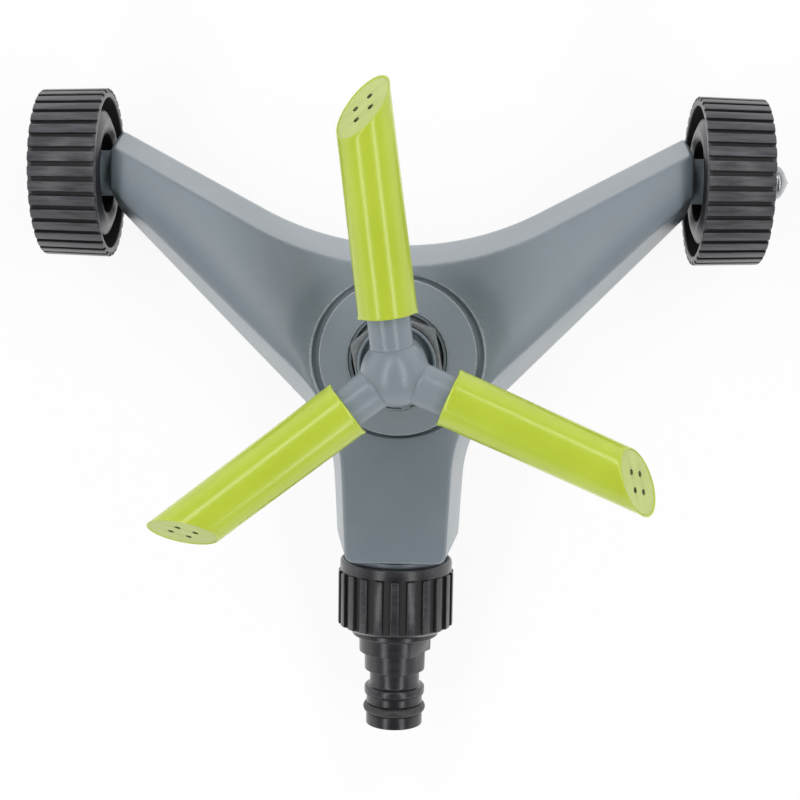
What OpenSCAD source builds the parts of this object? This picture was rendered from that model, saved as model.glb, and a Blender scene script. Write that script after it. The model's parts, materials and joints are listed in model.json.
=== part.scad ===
// Rotary lawn sprinkler on a wheeled three-legged base.
// +Z is up along the spindle, +X points to the right wheel and the hose inlet faces -Y.
// The origin is the middle of the front foot's sole, on the ground.

/* [Wheels and axles] */
// Diameter of a wheel over its tread ribs
wheel_d = 46; // [42:0.5:52]
// Width of a wheel
wheel_w = 18; // [17:0.5:24]
// Thickness of the wheel's outer ring, ribs included
rim_t = 2.4; // [1.8:0.1:2.8]
// Number of tread ribs
tread_n = 36; // [24:1:48]
// Depth of the grooves between the ribs
tread_h = 0.7; // [0.4:0.1:1]
// Diameter of the wheel's inner drum
drum_d = 34.5; // [32:0.5:36]
// Diameter of the cup in the drum round the axle boss
cup_d = 21.4; // [19:0.2:24]
// Depth of the cup and of the ring groove beside the drum
cup_deep = 6; // [5:0.5:7]
// Number of spokes on the wheel's outer side
spoke_n = 6; // [3:1:9]
// Diameter of a stub axle
axle_d = 5; // [4:0.5:6]
// Distance between the inner faces of the two wheels
track_in = 161; // [155:1:175]
// Distance of the axles behind the spindle
axle_back = 47.6; // [46:0.1:50]
// Diameter of the boss in each leg end that holds an axle
boss_d = 12.4; // [10.4:0.2:14]
// Diameter of the pointed cap on the right axle
cap_d = 9; // [8:0.2:11]
// How far the pointed cap stands out from the right wheel
cap_out = 7.7; // [5:0.1:10]

/* [Base] */
// Wall of the moulded base
wall = 2.4; // [1.8:0.1:2.6]
// Height of the base's top beside the hub disc
hub_top = 46; // [44:0.5:50]
// Height of a leg's end, from its rim to its top
leg_end_h = 22; // [20:0.5:26]
// Width of a leg's end, across the axle
leg_end_w = 22.8; // [21:0.2:25]
// How far the middle of a leg's end lies behind its axle
leg_end_back = 1.1; // [0.5:0.1:2]
// Height of the base's rim over the ground at the hub
hub_rim = 18; // [14:0.5:20]
// Slope of the rear edges from the X axis, in degrees
rear_slope = 27.75; // [27.25:0.25:28.5]
// Radius of the sweep between the rear edges
rear_sweep = 83; // [70:1:95]
// Slope of the front edges of the wheel legs, in degrees
front_slope = 45; // [44.5:0.1:45.5]
// Radius of the fillets between wheel legs and front leg
crotch_r = 40; // [20:1:44]
// Half width of the front leg at its root
front_root_w = 19.8; // [19:0.1:20.4]
// Half width of the front leg at its end
front_end_w = 18; // [17.4:0.1:18.6]
// How far the walls draw in from rim to ridge: behind, in the crotch and beside the front leg
rear_draw = 5; // [4:0.2:5.6]
crotch_draw = 4.4; // [3:0.2:5]
side_draw = 4.3; // [3:0.1:4.6]
// Distance of the front leg's end before the spindle
front_reach = 58.5; // [56:0.5:64]
// Depth of the sole under the front leg's end
sole_d = 6; // [5:0.5:8]

/* [Hub] */
// Radius of the hub disc's edge
disc_r = 20.6; // [20:0.1:21]
// Width of the moat round the disc
moat_w = 2.4; // [1.6:0.1:2.6]
// Radius of the well that holds the gland nut
well_r = 13.1; // [12.9:0.1:13.6]
// Rise of the disc from its edge to the well's lip
disc_rise = 5; // [3.5:0.1:6]
// Width across flats of the gland nut
gland_af = 22; // [21.6:0.1:22.2]
// Height of the gland nut
gland_h = 11; // [10:0.2:12]
// Outer diameter of the riser's thread
riser_d = 18; // [17:0.2:18.4]
// Diameter of the rotor's stem
stem_d = 12; // [11:0.2:12.4]
// Diameter of the waterway through the stem
stem_bore = 8; // [6:0.2:9]
// Diameter of the screws that hold the riser body
screw_d = 3.1; // [2.5:0.1:3.5]

/* [Rotor] */
// Diameter of the rotor's ball
ball_d = 16.8; // [16:0.1:18]
// Height of the ball's centre over the ground
ball_z = 84; // [81:0.5:90]
// Diameter of the skirt's rim
skirt_d = 22; // [20:0.2:24]
// Gap between gland nut and skirt
skirt_gap = 3; // [1:0.2:4]
// Outer diameter of a stub
stub_d = 10.5; // [9.8:0.1:10.8]
// Diameter of the waterway in a stub
stub_bore = 6.4; // [5:0.2:6.8]
// Length of a stub from the ball's centre
stub_len = 30; // [26:0.5:36]
// Turn of the rear arm from the X axis, in degrees
arm_turn = 97.4; // [60:0.2:120]
// Climb of the arms, in degrees
arm_climb = 8; // [0:1:15]
// Outer diameter of an arm tube at the hub end
tube_d = 14.4; // [13.8:0.1:15.4]
// Outer diameter of an arm tube at its mouth
tube_tip_d = 13.8; // [13.6:0.1:14.4]
// Distance from the ball's centre to a tube's hub end
tube_start = 14.6; // [13:0.1:18]
// Distance from the ball's centre to the middle of the nozzle face
tube_reach = 64; // [55:0.5:75]
// Diameter of one jet hole
jet_d = 1.4; // [1:0.1:1.8]
// Spacing of the jet holes, seen along the tube
jet_gap = 3.6; // [3:0.1:4]
// Thickness of the nozzle plate
plate_t = 2; // [1.5:0.1:2.5]

/* [Hose inlet] */
// Height of the inlet's axis over the ground
inlet_z = 22; // [21:0.5:23]
// Outer diameter of the inlet thread
inlet_d = 26.4; // [26:0.1:27]
// Rise of the inlet thread for each turn
inlet_pitch = 1.814; // [1.5:0.001:2]
// Outer diameter of the pipe behind the thread
pipe_d = 22; // [20.6:0.2:22.4]
// Waterway through the inlet pipe
pipe_bore = 16; // [13:0.5:17]
// Diameter of the coupling nut over its ribs
nut_d = 32.8; // [32:0.1:34]
// Number of ribs round the coupling nut
nut_ribs = 22; // [16:1:30]
// Length of the coupling nut
nut_len = 20; // [18:0.5:24]
// Diameter of the tail where the spanner flats are
tail_d = 20.4; // [19.6:0.1:21]
// Diameter of the locking ridge on the nose
ridge_d = 17.2; // [17:0.1:17.6]
// Diameter of the locking neck behind the ridge
neck_d = 14.2; // [13.4:0.1:15]
// Diameter of the nose beyond the ridge
nose_d = 16; // [15.8:0.1:16.6]
// Waterway through the nose
nose_bore = 9; // [7:0.5:10]

/* [Hidden] */
$fn = 96;

// Clearances
running_gap = 0.06;
seat_gap = 0.03;
free_gap = 0.3;
cut = 0.5;

// Colours
grey = [0.44, 0.48, 0.52];
lime = [0.66, 0.76, 0.20];
pale_lime = [0.72, 0.80, 0.34];
black = [0.10, 0.10, 0.11];
steel = [0.72, 0.73, 0.75];
brass = [0.78, 0.66, 0.36];

// Places on the ground and along the axles
spindle_y = front_reach - sole_d / 2;
axle_z = wheel_d / 2;
wheel_x = track_in / 2;
leg_end_x = wheel_x - 0.7;
boss_out = wheel_x + 2.2;
washer_t = 0.8;
washer_gap = 0.2;
wheel_hub_in = boss_out + washer_t + 2 * washer_gap - wheel_x;
wheel_hub_out = wheel_w - 3;
cap_in = wheel_hub_out + free_gap;
axle_in = leg_end_x - 7;
clip_t = 1.2;
// The axles reach far enough out to be gripped by cap and clip
right_axle_out = cap_in + 4.5;
left_axle_out = cap_in + clip_t + 0.6;

// Stack of the hub, from the ground up
leg_top = axle_z + leg_end_h / 2;
leg_rim = axle_z - leg_end_h / 2;
moat_floor = hub_top - 1.6;
disc_under = hub_top - 4;
disc_edge = hub_top + 0.8;
well_floor = hub_top;
well_lip = disc_edge + disc_rise;
flange_t = 3;
gland_z = well_floor + 0.5;
gland_top = gland_z + gland_h;
gland_cap_t = 2.5;
slip_t = 0.8;
slip_gap = 0.05;
collar_t = 1.6;
collar_r = riser_d / 2 - 0.8;
upper_slip_z = gland_top - gland_cap_t - slip_gap - slip_t;
collar_z = upper_slip_z - slip_gap - collar_t;
lower_slip_z = collar_z - slip_gap - slip_t;
riser_top = lower_slip_z;
stem_foot = riser_top - 12;
stem_r = stem_d / 2;
stem_head = ball_z - 10;
screw_ring = disc_r - 3.6;
screw_post_r = screw_d / 2 + 2;
screw_bite = 5.2;
screw_turns = [45:90:315];
elbow_r = pipe_d / 2 + 2.5;

// Stations of the inlet, as distances before the spindle
socket_end = 24;
socket_floor = 9;
pipe_in = socket_floor + 1;
neck_from = front_reach + 0.1;
neck_to = neck_from + 2.6;
nut_from = neck_to - 1.6;
nut_to = nut_from + nut_len;
stop_from = nut_to + free_gap;
stop_to = nut_to + 2.2;
thread_to = nut_to - 6.8;
washer_to = thread_to + 2;
flange_to = washer_to + 1.7;
nut_wall_from = flange_to + 0.1;
flats_to = stop_to + 4;
step_to = flats_to + 5.4;
neck_end = step_to + 5;
ridge_end = neck_end + 2.6;
ring_from = ridge_end + 3;
ring_to = ring_from + 2.8;
ring_floor_r = nose_d / 2 - 1.9;
nose_to = ring_to + 3.4;
nut_grip_from = nut_from + 3.6;
nut_grip_to = nut_to - 1.2;

// A unit vector
function unit(v) = v / norm(v);

// Arc of radius r in the corner p between its neighbours a and b, in n steps
function corner(p, a, b, r, n) =
    let (u = unit(a - p), v = unit(b - p), h = acos(u * v) / 2,
         c = p + unit(u + v) * r / sin(h), s = p + u * r / tan(h) - c,
         side = sign(cross(u, v)))
    [for (i = [0:n]) let (g = -side * (180 - 2 * h) * i / n)
        c + [s.x * cos(g) - s.y * sin(g), s.x * sin(g) + s.y * cos(g)]];

// Corners moved square to their edges by d towards the inside of a clockwise outline
function inset(v, d) =
    [for (i = [0:len(v) - 1]) let (n = len(v), p = v[i],
        u = unit(v[(i + n - 1) % n] - p), w = unit(v[(i + 1) % n] - p),
        h = acos(u * w) / 2, side = sign(cross(u, w)))
        p + side * unit(u + w) * d / sin(h)];

// Closed outline through corners v with radii r, n arc steps and m points on each edge
function outline(v, r, n, m) =
    let (k = len(v), arcs = [for (i = [0:k - 1])
        corner(v[i], v[(i + k - 1) % k], v[(i + 1) % k], r[i], n[i])])
    [for (i = [0:k - 1]) let (a = arcs[i], e = a[len(a) - 1], f = arcs[(i + 1) % k][0])
        each concat(a, [for (j = [1:1:m[i]]) e + (f - e) * j / (m[i] + 1)])];

// Corners of the base seen from above, clockwise from the middle of the rear edge
rear_end = axle_back + leg_end_back + leg_end_w / 2;
front_of_end = rear_end - leg_end_w;
rear_tip = rear_end - leg_end_x * tan(rear_slope);
crotch = [front_root_w, front_of_end - (leg_end_x - front_root_w) * tan(front_slope)];
rim_corners = [[0, rear_tip],
    [leg_end_x, rear_end], [leg_end_x, front_of_end], crotch, [front_end_w, -front_reach],
    [-front_end_w, -front_reach], [-crotch.x, crotch.y], [-leg_end_x, front_of_end],
    [-leg_end_x, rear_end]];
// The same corners along the top ridge, drawn in by the slope of the walls
ridge_end_x = leg_end_x - 1;
ridge_rear = rear_end - rear_draw;
ridge_front = front_of_end + 6.4;
ridge_crotch = crotch + [-crotch_draw, crotch_draw * 1.7];
ridge_foot = [front_end_w - side_draw, 1.3 - front_reach];
ridge_corners = [[0, rear_tip - rear_draw],
    [ridge_end_x, ridge_rear], [ridge_end_x, ridge_front], ridge_crotch, ridge_foot,
    [-ridge_foot.x, ridge_foot.y], [-ridge_crotch.x, ridge_crotch.y],
    [-ridge_end_x, ridge_front], [-ridge_end_x, ridge_rear]];
corner_r = 2.6;
rim_radii = [rear_sweep, corner_r, corner_r, crotch_r, corner_r, corner_r, crotch_r, corner_r, corner_r];
inner_radii = [rear_sweep + wall, corner_r - wall, corner_r - wall, crotch_r + wall, corner_r - wall,
    corner_r - wall, crotch_r + wall, corner_r - wall, corner_r - wall];
arc_steps = [16, 3, 3, 10, 3, 3, 10, 3, 3];
edge_points = [5, 2, 8, 4, 3, 4, 8, 2, 5];

// Height of the base's top at a distance from the spindle
hub_r = disc_r + moat_w;
end_reach = norm([leg_end_x, axle_back]);
function top_z(d) = hub_top - (hub_top - leg_top) * pow(max(0, d - hub_r) / (end_reach - hub_r), 1.15);
// Height of the base's rim, which comes down to the ground along the front leg
function rim_z(p) = p.y < -12
    ? hub_rim * (1 - sin(90 * min(1, (-12 - p.y) / (front_reach - sole_d - 14))))
    : hub_rim + (leg_rim - hub_rim) * max(0, min(1, (norm(p) - hub_r) / (end_reach - hub_r)));

// Points of the ring that lies a share s of the way from the ridge in to the hub
function panel(ridge, s, drop) =
    [for (p = ridge) let (h = unit(p) * hub_r, q = p + (h - p) * s) [q.x, q.y, top_z(norm(q)) - drop]];
// Points of the ring that lies a share s of the way down from the ridge to the rim
function side_ring(ridge, rim, s, drop) =
    [for (i = [0:len(rim) - 1])
        let (p = ridge[i], q = rim[i], a = [p.x, p.y, top_z(norm(p)) - drop], b = [q.x, q.y, rim_z(q)])
        a + (b - a) * s];

// A closed skin over rings of equal length that come back to the first one
module ring_skin(rings) {
    n = len(rings[0]);
    k = len(rings);
    polyhedron([for (r = rings) each r],
        [for (j = [0:k - 1], i = [0:n - 1], t = [0, 1])
            let (a = j * n + i, b = j * n + (i + 1) % n,
                 c = ((j + 1) % k) * n + i, d = ((j + 1) % k) * n + (i + 1) % n)
            t == 0 ? [a, b, d] : [a, d, c]]);
}

// Moves a piece drawn round the spindle into the part's frame
module at_spindle() {
    translate([0, spindle_y, 0]) children();
}

// A cylinder along the inlet, from one station to another before the spindle
module along_inlet(from, to, r1, r2) {
    translate([0, -from, inlet_z]) rotate([90, 0, 0]) cylinder(h = to - from, r1 = r1, r2 = r2);
}

// A ring of rectangular section round the Z axis
module ring(z, h, r_out, r_in) {
    translate([0, 0, z]) difference() {
        cylinder(h = h, r = r_out);
        translate([0, 0, -cut]) cylinder(h = h + 2 * cut, r = r_in);
    }
}

// A round seal whose section has radius s, on a circle of radius r
module torus(r, s) {
    rotate_extrude() translate([r, 0]) circle(r = s, $fn = 32);
}

// A cylinder along an axle, with x measured out from the spindle on the right side
module along_axle(from, to, r) {
    translate([from, axle_back, axle_z]) rotate([0, 90, 0]) cylinder(h = to - from, r = r);
}

module hub_disc() {
    difference() {
        rotate_extrude() polygon([
            [riser_d / 2 + 0.15, disc_under], [hub_r + 1.2, disc_under], [hub_r + 1.2, moat_floor],
            [disc_r + 0.3, moat_floor], [disc_r, disc_edge - 0.4], [disc_r - 0.4, disc_edge],
            [well_r + 0.9, well_lip - 0.3], [well_r + 0.5, well_lip], [well_r, well_lip - 0.4],
            [well_r, well_floor], [riser_d / 2 + 0.15, well_floor]]);
        difference() {
            ring(disc_under - cut, moat_floor + 1.1 - disc_under + cut, disc_r - 1.4, well_r + 1);
            for (a = screw_turns) rotate(a) translate([screw_ring, 0, 0])
                cylinder(h = well_lip, r = screw_post_r);
        }
        for (a = screw_turns) rotate(a) translate([screw_ring, 0, disc_under - cut])
            cylinder(h = screw_bite, r = screw_d / 2 + seat_gap);
    }
}

module leg_rib() {
    reach = end_reach - 14;
    heights = [for (i = [0:6]) let (d = hub_r + (reach - hub_r) * i / 6) [d, top_z(d) - wall / 2]];
    rotate(atan2(axle_back - 1, leg_end_x)) rotate([90, 0, 0]) translate([0, 0, -wall / 3])
        linear_extrude(wall / 1.5) polygon(concat(heights,
            [[reach, leg_rim + 10], [hub_r, hub_rim + 14]]));
}

module base_shell() {
    rim = outline(rim_corners, rim_radii, arc_steps, edge_points);
    ridge = outline(ridge_corners, rim_radii, arc_steps, edge_points);
    rim_in = outline(inset(rim_corners, wall), inner_radii, arc_steps, edge_points);
    ridge_in = outline(inset(ridge_corners, wall), inner_radii, arc_steps, edge_points);
    bulkhead_y = wall / 2 + 0.6 - front_reach;
    color(grey) at_spindle() difference() {
        union() {
            ring_skin([side_ring(ridge, rim, 1, 0), side_ring(ridge, rim, 0.5, 0),
                side_ring(ridge, rim, 0.05, 0), panel(ridge, 0.06, 0), panel(ridge, 0.35, 0),
                panel(ridge, 0.7, 0), panel(ridge, 1, 0), panel(ridge_in, 1, wall),
                panel(ridge_in, 0.5, wall), side_ring(ridge_in, rim_in, 0, wall),
                side_ring(ridge_in, rim_in, 0.5, wall), side_ring(ridge_in, rim_in, 1, wall)]);
            hub_disc();
            translate([wall - front_end_w, bulkhead_y, 0])
                cube([2 * (front_end_w - wall), sole_d - wall / 2 - 0.6, inlet_z + pipe_d / 2 + 2]);
            for (m = [0, 1]) mirror([m, 0, 0]) {
                along_axle(axle_in, leg_end_x, boss_d / 2 - 0.9);
                along_axle(leg_end_x - 1, boss_out, boss_d / 2);
                leg_rib();
            }
        }
        along_inlet(front_reach - sole_d - 2, front_reach + 2, pipe_d / 2 + seat_gap, pipe_d / 2 + seat_gap);
        for (m = [0, 1]) mirror([m, 0, 0])
            along_axle(axle_in, boss_out + cut, axle_d / 2 + seat_gap);
    }
}

module riser_body() {
    color(grey) at_spindle() difference() {
        union() {
            translate([0, 0, inlet_z]) cylinder(h = riser_top - inlet_z, r = riser_d / 2);
            translate([0, 0, inlet_z - elbow_r - 1]) cylinder(h = 2 * elbow_r + 2, r = riser_d / 2 + 2);
            translate([0, 0, disc_under - flange_t]) cylinder(h = flange_t, r = disc_r - 0.1);
            along_inlet(0, socket_end, elbow_r, elbow_r);
        }
        translate([0, 0, inlet_z - 7]) cylinder(h = stem_foot - inlet_z + 5, r = stem_r + 0.8);
        translate([0, 0, inlet_z]) cylinder(h = riser_top, r = stem_r + running_gap);
        along_inlet(-4, socket_floor + cut, pipe_bore / 2, pipe_bore / 2);
        along_inlet(socket_floor, socket_end + cut, pipe_d / 2 + seat_gap, pipe_d / 2 + seat_gap);
        for (a = screw_turns) rotate(a) translate([screw_ring, 0, disc_under - flange_t - cut])
            cylinder(h = flange_t + 2 * cut, r = screw_d / 2 + 0.2);
    }
}

module elbow_screws() {
    head_h = 2;
    slot_w = 0.7;
    slot_deep = 1.3;
    head_z = disc_under - flange_t - head_h;
    color(steel) at_spindle() for (a = screw_turns) rotate(a) translate([screw_ring, 0, 0]) difference() {
        union() {
            translate([0, 0, head_z]) cylinder(h = head_h, r = screw_d);
            translate([0, 0, head_z + 1]) cylinder(h = flange_t + screw_bite, r = screw_d / 2);
        }
        for (t = [0, 90]) rotate(t) translate([-screw_d * 0.6, -slot_w / 2, head_z - cut])
            cube([screw_d * 1.2, slot_w, slot_deep + cut]);
    }
}

module inlet_pipe() {
    seal_y = socket_floor + 6;
    color(grey) at_spindle() difference() {
        union() {
            along_inlet(pipe_in, neck_to, pipe_d / 2, pipe_d / 2);
            along_inlet(neck_from, neck_to, inlet_d / 2 + 0.9, inlet_d / 2 + 0.9);
            along_inlet(neck_to - cut, thread_to, inlet_d / 2, inlet_d / 2);
        }
        along_inlet(pipe_in - cut, thread_to + cut, pipe_bore / 2, pipe_bore / 2);
        difference() {
            along_inlet(seal_y, seal_y + 2.2, pipe_d / 2 + cut, pipe_d / 2 + cut);
            along_inlet(seal_y - cut, seal_y + 2.2 + cut, pipe_d / 2 - 1.6, pipe_d / 2 - 1.6);
        }
    }
}

module pipe_seal() {
    color(black) at_spindle() translate([0, -socket_floor - 7.1, inlet_z]) rotate([90, 0, 0])
        torus(pipe_d / 2 - 0.79, 0.8);
}

module gland_nut() {
    color(grey) at_spindle() difference() {
        intersection() {
            translate([0, 0, gland_z]) cylinder(h = gland_h, r = gland_af / sqrt(3), $fn = 6);
            translate([0, 0, gland_z]) cylinder(h = gland_h, r1 = gland_af / sqrt(3) + gland_h - 0.7,
                r2 = gland_af / sqrt(3) - 0.7);
        }
        translate([0, 0, gland_z - cut]) cylinder(h = gland_h - gland_cap_t + cut, r = riser_d / 2 + seat_gap);
        translate([0, 0, gland_z]) cylinder(h = gland_h + cut, r = stem_r + free_gap);
    }
}

module rotor_stem() {
    seal_z = stem_foot + 3;
    color(brass) at_spindle() difference() {
        union() {
            translate([0, 0, stem_foot]) cylinder(h = stem_head - stem_foot, r = stem_r);
            translate([0, 0, collar_z]) cylinder(h = collar_t, r = collar_r);
        }
        translate([0, 0, stem_foot - cut]) cylinder(h = stem_head - stem_foot + 2 * cut, r = stem_bore / 2);
        ring(seal_z - 0.9, 1.8, stem_r + cut, stem_r - 1.1);
    }
}

module lower_thrust_washer() {
    color("white") at_spindle() ring(lower_slip_z, slip_t, collar_r, stem_r + 0.2);
}

module upper_thrust_washer() {
    color("white") at_spindle() ring(upper_slip_z, slip_t, collar_r, stem_r + 0.2);
}

module stem_seal() {
    color(black) at_spindle() translate([0, 0, stem_foot + 3]) torus(stem_r - 0.5, 0.54);
}

// Turns of the rear, left and right arm from the first one
arm_turns = [0, 120, 240];

// Places what is drawn along +X onto an arm, with +Y to its left and +Z up
module on_arm(turn) {
    at_spindle() translate([0, 0, ball_z]) rotate([0, 0, arm_turn + turn]) rotate([0, -arm_climb, 0])
        children();
}

module arm_bar(from, to, r1, r2) {
    translate([from, 0, 0]) rotate([0, 90, 0]) cylinder(h = to - from, r1 = r1, r2 = r2);
}

module rotor_hub() {
    skirt_z = gland_top + skirt_gap;
    skirt_r = skirt_d / 2;
    neck_r = ball_d / 2 - 0.6;
    seal_x = stub_len - 5;
    color(grey) difference() {
        union() {
            at_spindle() rotate_extrude() polygon(concat([[0, skirt_z], [skirt_r, skirt_z]],
                [for (i = [0:10]) let (t = i / 10)
                    [neck_r + (skirt_r - neck_r) * (1 - sin(90 * t)), skirt_z + 1.5 + (ball_z - skirt_z - 6) * t]],
                [[0, ball_z - 4]]));
            at_spindle() translate([0, 0, ball_z]) sphere(d = ball_d);
            for (t = arm_turns) on_arm(t) difference() {
                arm_bar(2, stub_len, stub_d / 2, stub_d / 2);
                difference() {
                    arm_bar(seal_x, seal_x + 1.8, stub_d, stub_d);
                    arm_bar(seal_x - cut, seal_x + 1.8 + cut, stub_d / 2 - 1.3, stub_d / 2 - 1.3);
                }
            }
        }
        at_spindle() translate([0, 0, skirt_z - cut]) cylinder(h = stem_head - skirt_z + cut, r = stem_r + seat_gap);
        at_spindle() translate([0, 0, skirt_z - cut]) cylinder(h = ball_z - skirt_z, r = stub_bore / 2 + 1);
        at_spindle() translate([0, 0, skirt_z - cut]) cylinder(h = 3, r1 = skirt_r - 1, r2 = stem_r + 1);
        at_spindle() translate([0, 0, ball_z]) sphere(r = stub_bore / 2 + 1.5);
        for (t = arm_turns) on_arm(t) arm_bar(0, stub_len + cut, stub_bore / 2, stub_bore / 2);
    }
}

// Wall of the tube round the nozzle plate, and how far the plate lies inside the mouth
plate_rim = 0.6;
plate_sunk = 0.15;
// Direction in which a nozzle face looks, along its arm, to its left and up
face_look = [1, 0.72, 0.6];

// A block behind the nozzle face, which ends a distance inside the face's plane
module behind_face(depth, thick) {
    translate([tube_reach, 0, 0])
        rotate([0, -asin(face_look.z / norm(face_look)), 0] + [0, 0, atan2(face_look.y, face_look.x)])
            translate([-depth - thick, -40, -40]) cube([thick, 80, 80]);
}

module arm_tube(turn) {
    color(lime) on_arm(turn) difference() {
        intersection() {
            arm_bar(tube_start, tube_reach + 20, tube_d / 2,
                tube_tip_d / 2 - (tube_d - tube_tip_d) / 2 * 20 / (tube_reach - tube_start));
            behind_face(0, 120);
        }
        arm_bar(tube_start - cut, tube_reach + 20, stub_d / 2 + seat_gap, stub_d / 2 + seat_gap);
        difference() {
            arm_bar(tube_reach - 20, tube_reach + 20, plate_r() + seat_gap, plate_r() + seat_gap);
            behind_face(plate_t + plate_sunk, 120);
        }
    }
}

// Radius of the nozzle plate, seen along the arm
function plate_r() = tube_tip_d / 2 - plate_rim;

module nozzle_plate(turn) {
    color(pale_lime) on_arm(turn) difference() {
        intersection() {
            arm_bar(tube_reach - 20, tube_reach + 20, plate_r(), plate_r());
            behind_face(plate_sunk, plate_t);
        }
        for (v = [-1, 1], w = [-1, 1]) let (y = v * jet_gap / 2, z = w * jet_gap / 2)
            translate([tube_reach - (y * face_look.y + z * face_look.z) / face_look.x, y, z])
                rotate([0, 0, atan2(face_look.y, face_look.x)])
                    rotate([0, -asin(face_look.z / norm(face_look)), 0])
                        translate([-6, 0, 0]) rotate([0, 90, 0]) cylinder(h = 12, d = jet_d, $fn = 32);
    }
}

module arm_tube_rear() { arm_tube(arm_turns[0]); }
module arm_tube_left() { arm_tube(arm_turns[1]); }
module arm_tube_right() { arm_tube(arm_turns[2]); }
module nozzle_plate_rear() { nozzle_plate(arm_turns[0]); }
module nozzle_plate_left() { nozzle_plate(arm_turns[1]); }
module nozzle_plate_right() { nozzle_plate(arm_turns[2]); }

module arm_seals() {
    color(black) for (t = arm_turns) on_arm(t)
        translate([stub_len - 4.1, 0, 0]) rotate([0, 90, 0]) torus(stub_d / 2 - 0.64, 0.65);
}

module left_axle() {
    color(steel) at_spindle() mirror([1, 0, 0]) along_axle(axle_in, wheel_x + left_axle_out, axle_d / 2);
}

module right_axle() {
    color(steel) at_spindle() along_axle(axle_in, wheel_x + right_axle_out, axle_d / 2);
}

module axle_washer() {
    color(steel) at_spindle() difference() {
        along_axle(boss_out + washer_gap, boss_out + washer_gap + washer_t, boss_d / 2);
        along_axle(boss_out, boss_out + 2, axle_d / 2 + seat_gap);
    }
}

module right_axle_washer() { axle_washer(); }
module left_axle_washer() { mirror([1, 0, 0]) axle_washer(); }

module left_axle_clip() {
    color(steel) at_spindle() mirror([1, 0, 0]) difference() {
        along_axle(wheel_x + cap_in, wheel_x + cap_in + clip_t, axle_d / 2 + 2.8);
        along_axle(wheel_x + cap_in - cut, wheel_x + cap_in + clip_t + cut, axle_d / 2 + seat_gap);
    }
}

module right_axle_cap() {
    tip = wheel_w + cap_out - cap_in;
    color(steel) at_spindle() difference() {
        translate([wheel_x + cap_in, axle_back, axle_z]) rotate([0, 90, 0]) rotate_extrude()
            polygon(concat([[0, 0], [cap_d / 2, 0], [cap_d / 2, tip - 3.6]],
                [for (i = [1:8]) let (t = i / 8)
                    [cap_d / 2 * (1 - t) + 1.6 * sin(180 * t) * (1 - t * 0.4), tip - 3.6 + 3.6 * t]]));
        along_axle(wheel_x + cap_in - cut, wheel_x + right_axle_out + 0.2, axle_d / 2 + seat_gap);
    }
}

// Half section of the wheel as radius and distance out from its inner face
module wheel_section() {
    rim_in = wheel_d / 2 - rim_t;
    drum = drum_d / 2;
    cup = cup_d / 2;
    hub = axle_d / 2 + 2.8;
    skin = 2;
    polygon([[rim_in, 0], [rim_in, cup_deep], [drum, cup_deep], [drum, 0.8], [cup, 0.8], [cup, cup_deep],
        [hub, cup_deep], [hub, wheel_hub_in], [0, wheel_hub_in], [0, wheel_hub_out], [hub, wheel_hub_out],
        [hub, cup_deep + skin], [cup + skin, cup_deep + skin], [cup + skin, 0.8 + skin],
        [drum - skin, 0.8 + skin], [drum - skin, cup_deep + skin], [rim_in, cup_deep + skin],
        [rim_in, wheel_w], [rim_in + 1, wheel_w], [rim_in + 1, 0]]);
}

// The ribbed outside of the wheel, cut with one groove between neighbouring ribs
module tread_section() {
    pitch = 360 / tread_n;
    crest = wheel_d / 2 / cos(pitch * 0.27);
    polygon([for (i = [0:tread_n - 1]) each
        [for (g = [[-0.27, 0], [0.27, 0], [0.31, -tread_h], [0.69, -tread_h]])
            let (a = (i + g[0]) * pitch, r = crest + g[1]) [r * cos(a), r * sin(a)]]]);
}

module wheel() {
    color(black) at_spindle() translate([wheel_x, axle_back, axle_z]) rotate([0, 90, 0]) difference() {
        union() {
            rotate_extrude() wheel_section();
            difference() {
                linear_extrude(wheel_w) tread_section();
                translate([0, 0, -cut]) cylinder(h = wheel_w + 2 * cut, r = wheel_d / 2 - rim_t);
            }
            for (i = [0:spoke_n - 1]) rotate(i * 360 / spoke_n + 30) translate([axle_d / 2 + 1.5, -1, cup_deep + 1])
                cube([wheel_d / 2 - rim_t - axle_d / 2 - 1, 2, wheel_w - cup_deep - 4.5]);
        }
        translate([0, 0, -cut]) cylinder(h = wheel_w + 2 * cut, r = axle_d / 2 + running_gap);
    }
}

module right_wheel() { wheel(); }
module left_wheel() { mirror([1, 0, 0]) wheel(); }

module coupling_nut() {
    grip_r = nut_d / 2;
    color(black) at_spindle() difference() {
        union() {
            along_inlet(nut_from, nut_from + 1.2, grip_r - 1.8, grip_r - 0.8);
            along_inlet(nut_from + 1.2, nut_grip_from, grip_r - 0.8, grip_r - 0.8);
            along_inlet(nut_grip_from, nut_grip_to, grip_r - 0.9, grip_r - 0.9);
            along_inlet(nut_grip_to, nut_to, grip_r - 0.9, grip_r - 2.6);
            for (i = [0:nut_ribs - 1]) translate([0, 0, inlet_z]) rotate([0, i * 360 / nut_ribs, 0])
                translate([-1.15, -nut_grip_to, grip_r - 2]) cube([2.3, nut_grip_to - nut_grip_from, 2]);
        }
        along_inlet(nut_from - cut, nut_wall_from, inlet_d / 2 + running_gap, inlet_d / 2 + running_gap);
        along_inlet(nut_from, nut_to + cut, tail_d / 2 + free_gap / 2, tail_d / 2 + free_gap / 2);
        along_inlet(nut_from - cut, neck_to + free_gap, inlet_d / 2 + 1.2, inlet_d / 2 + 1.2);
    }
}

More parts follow.
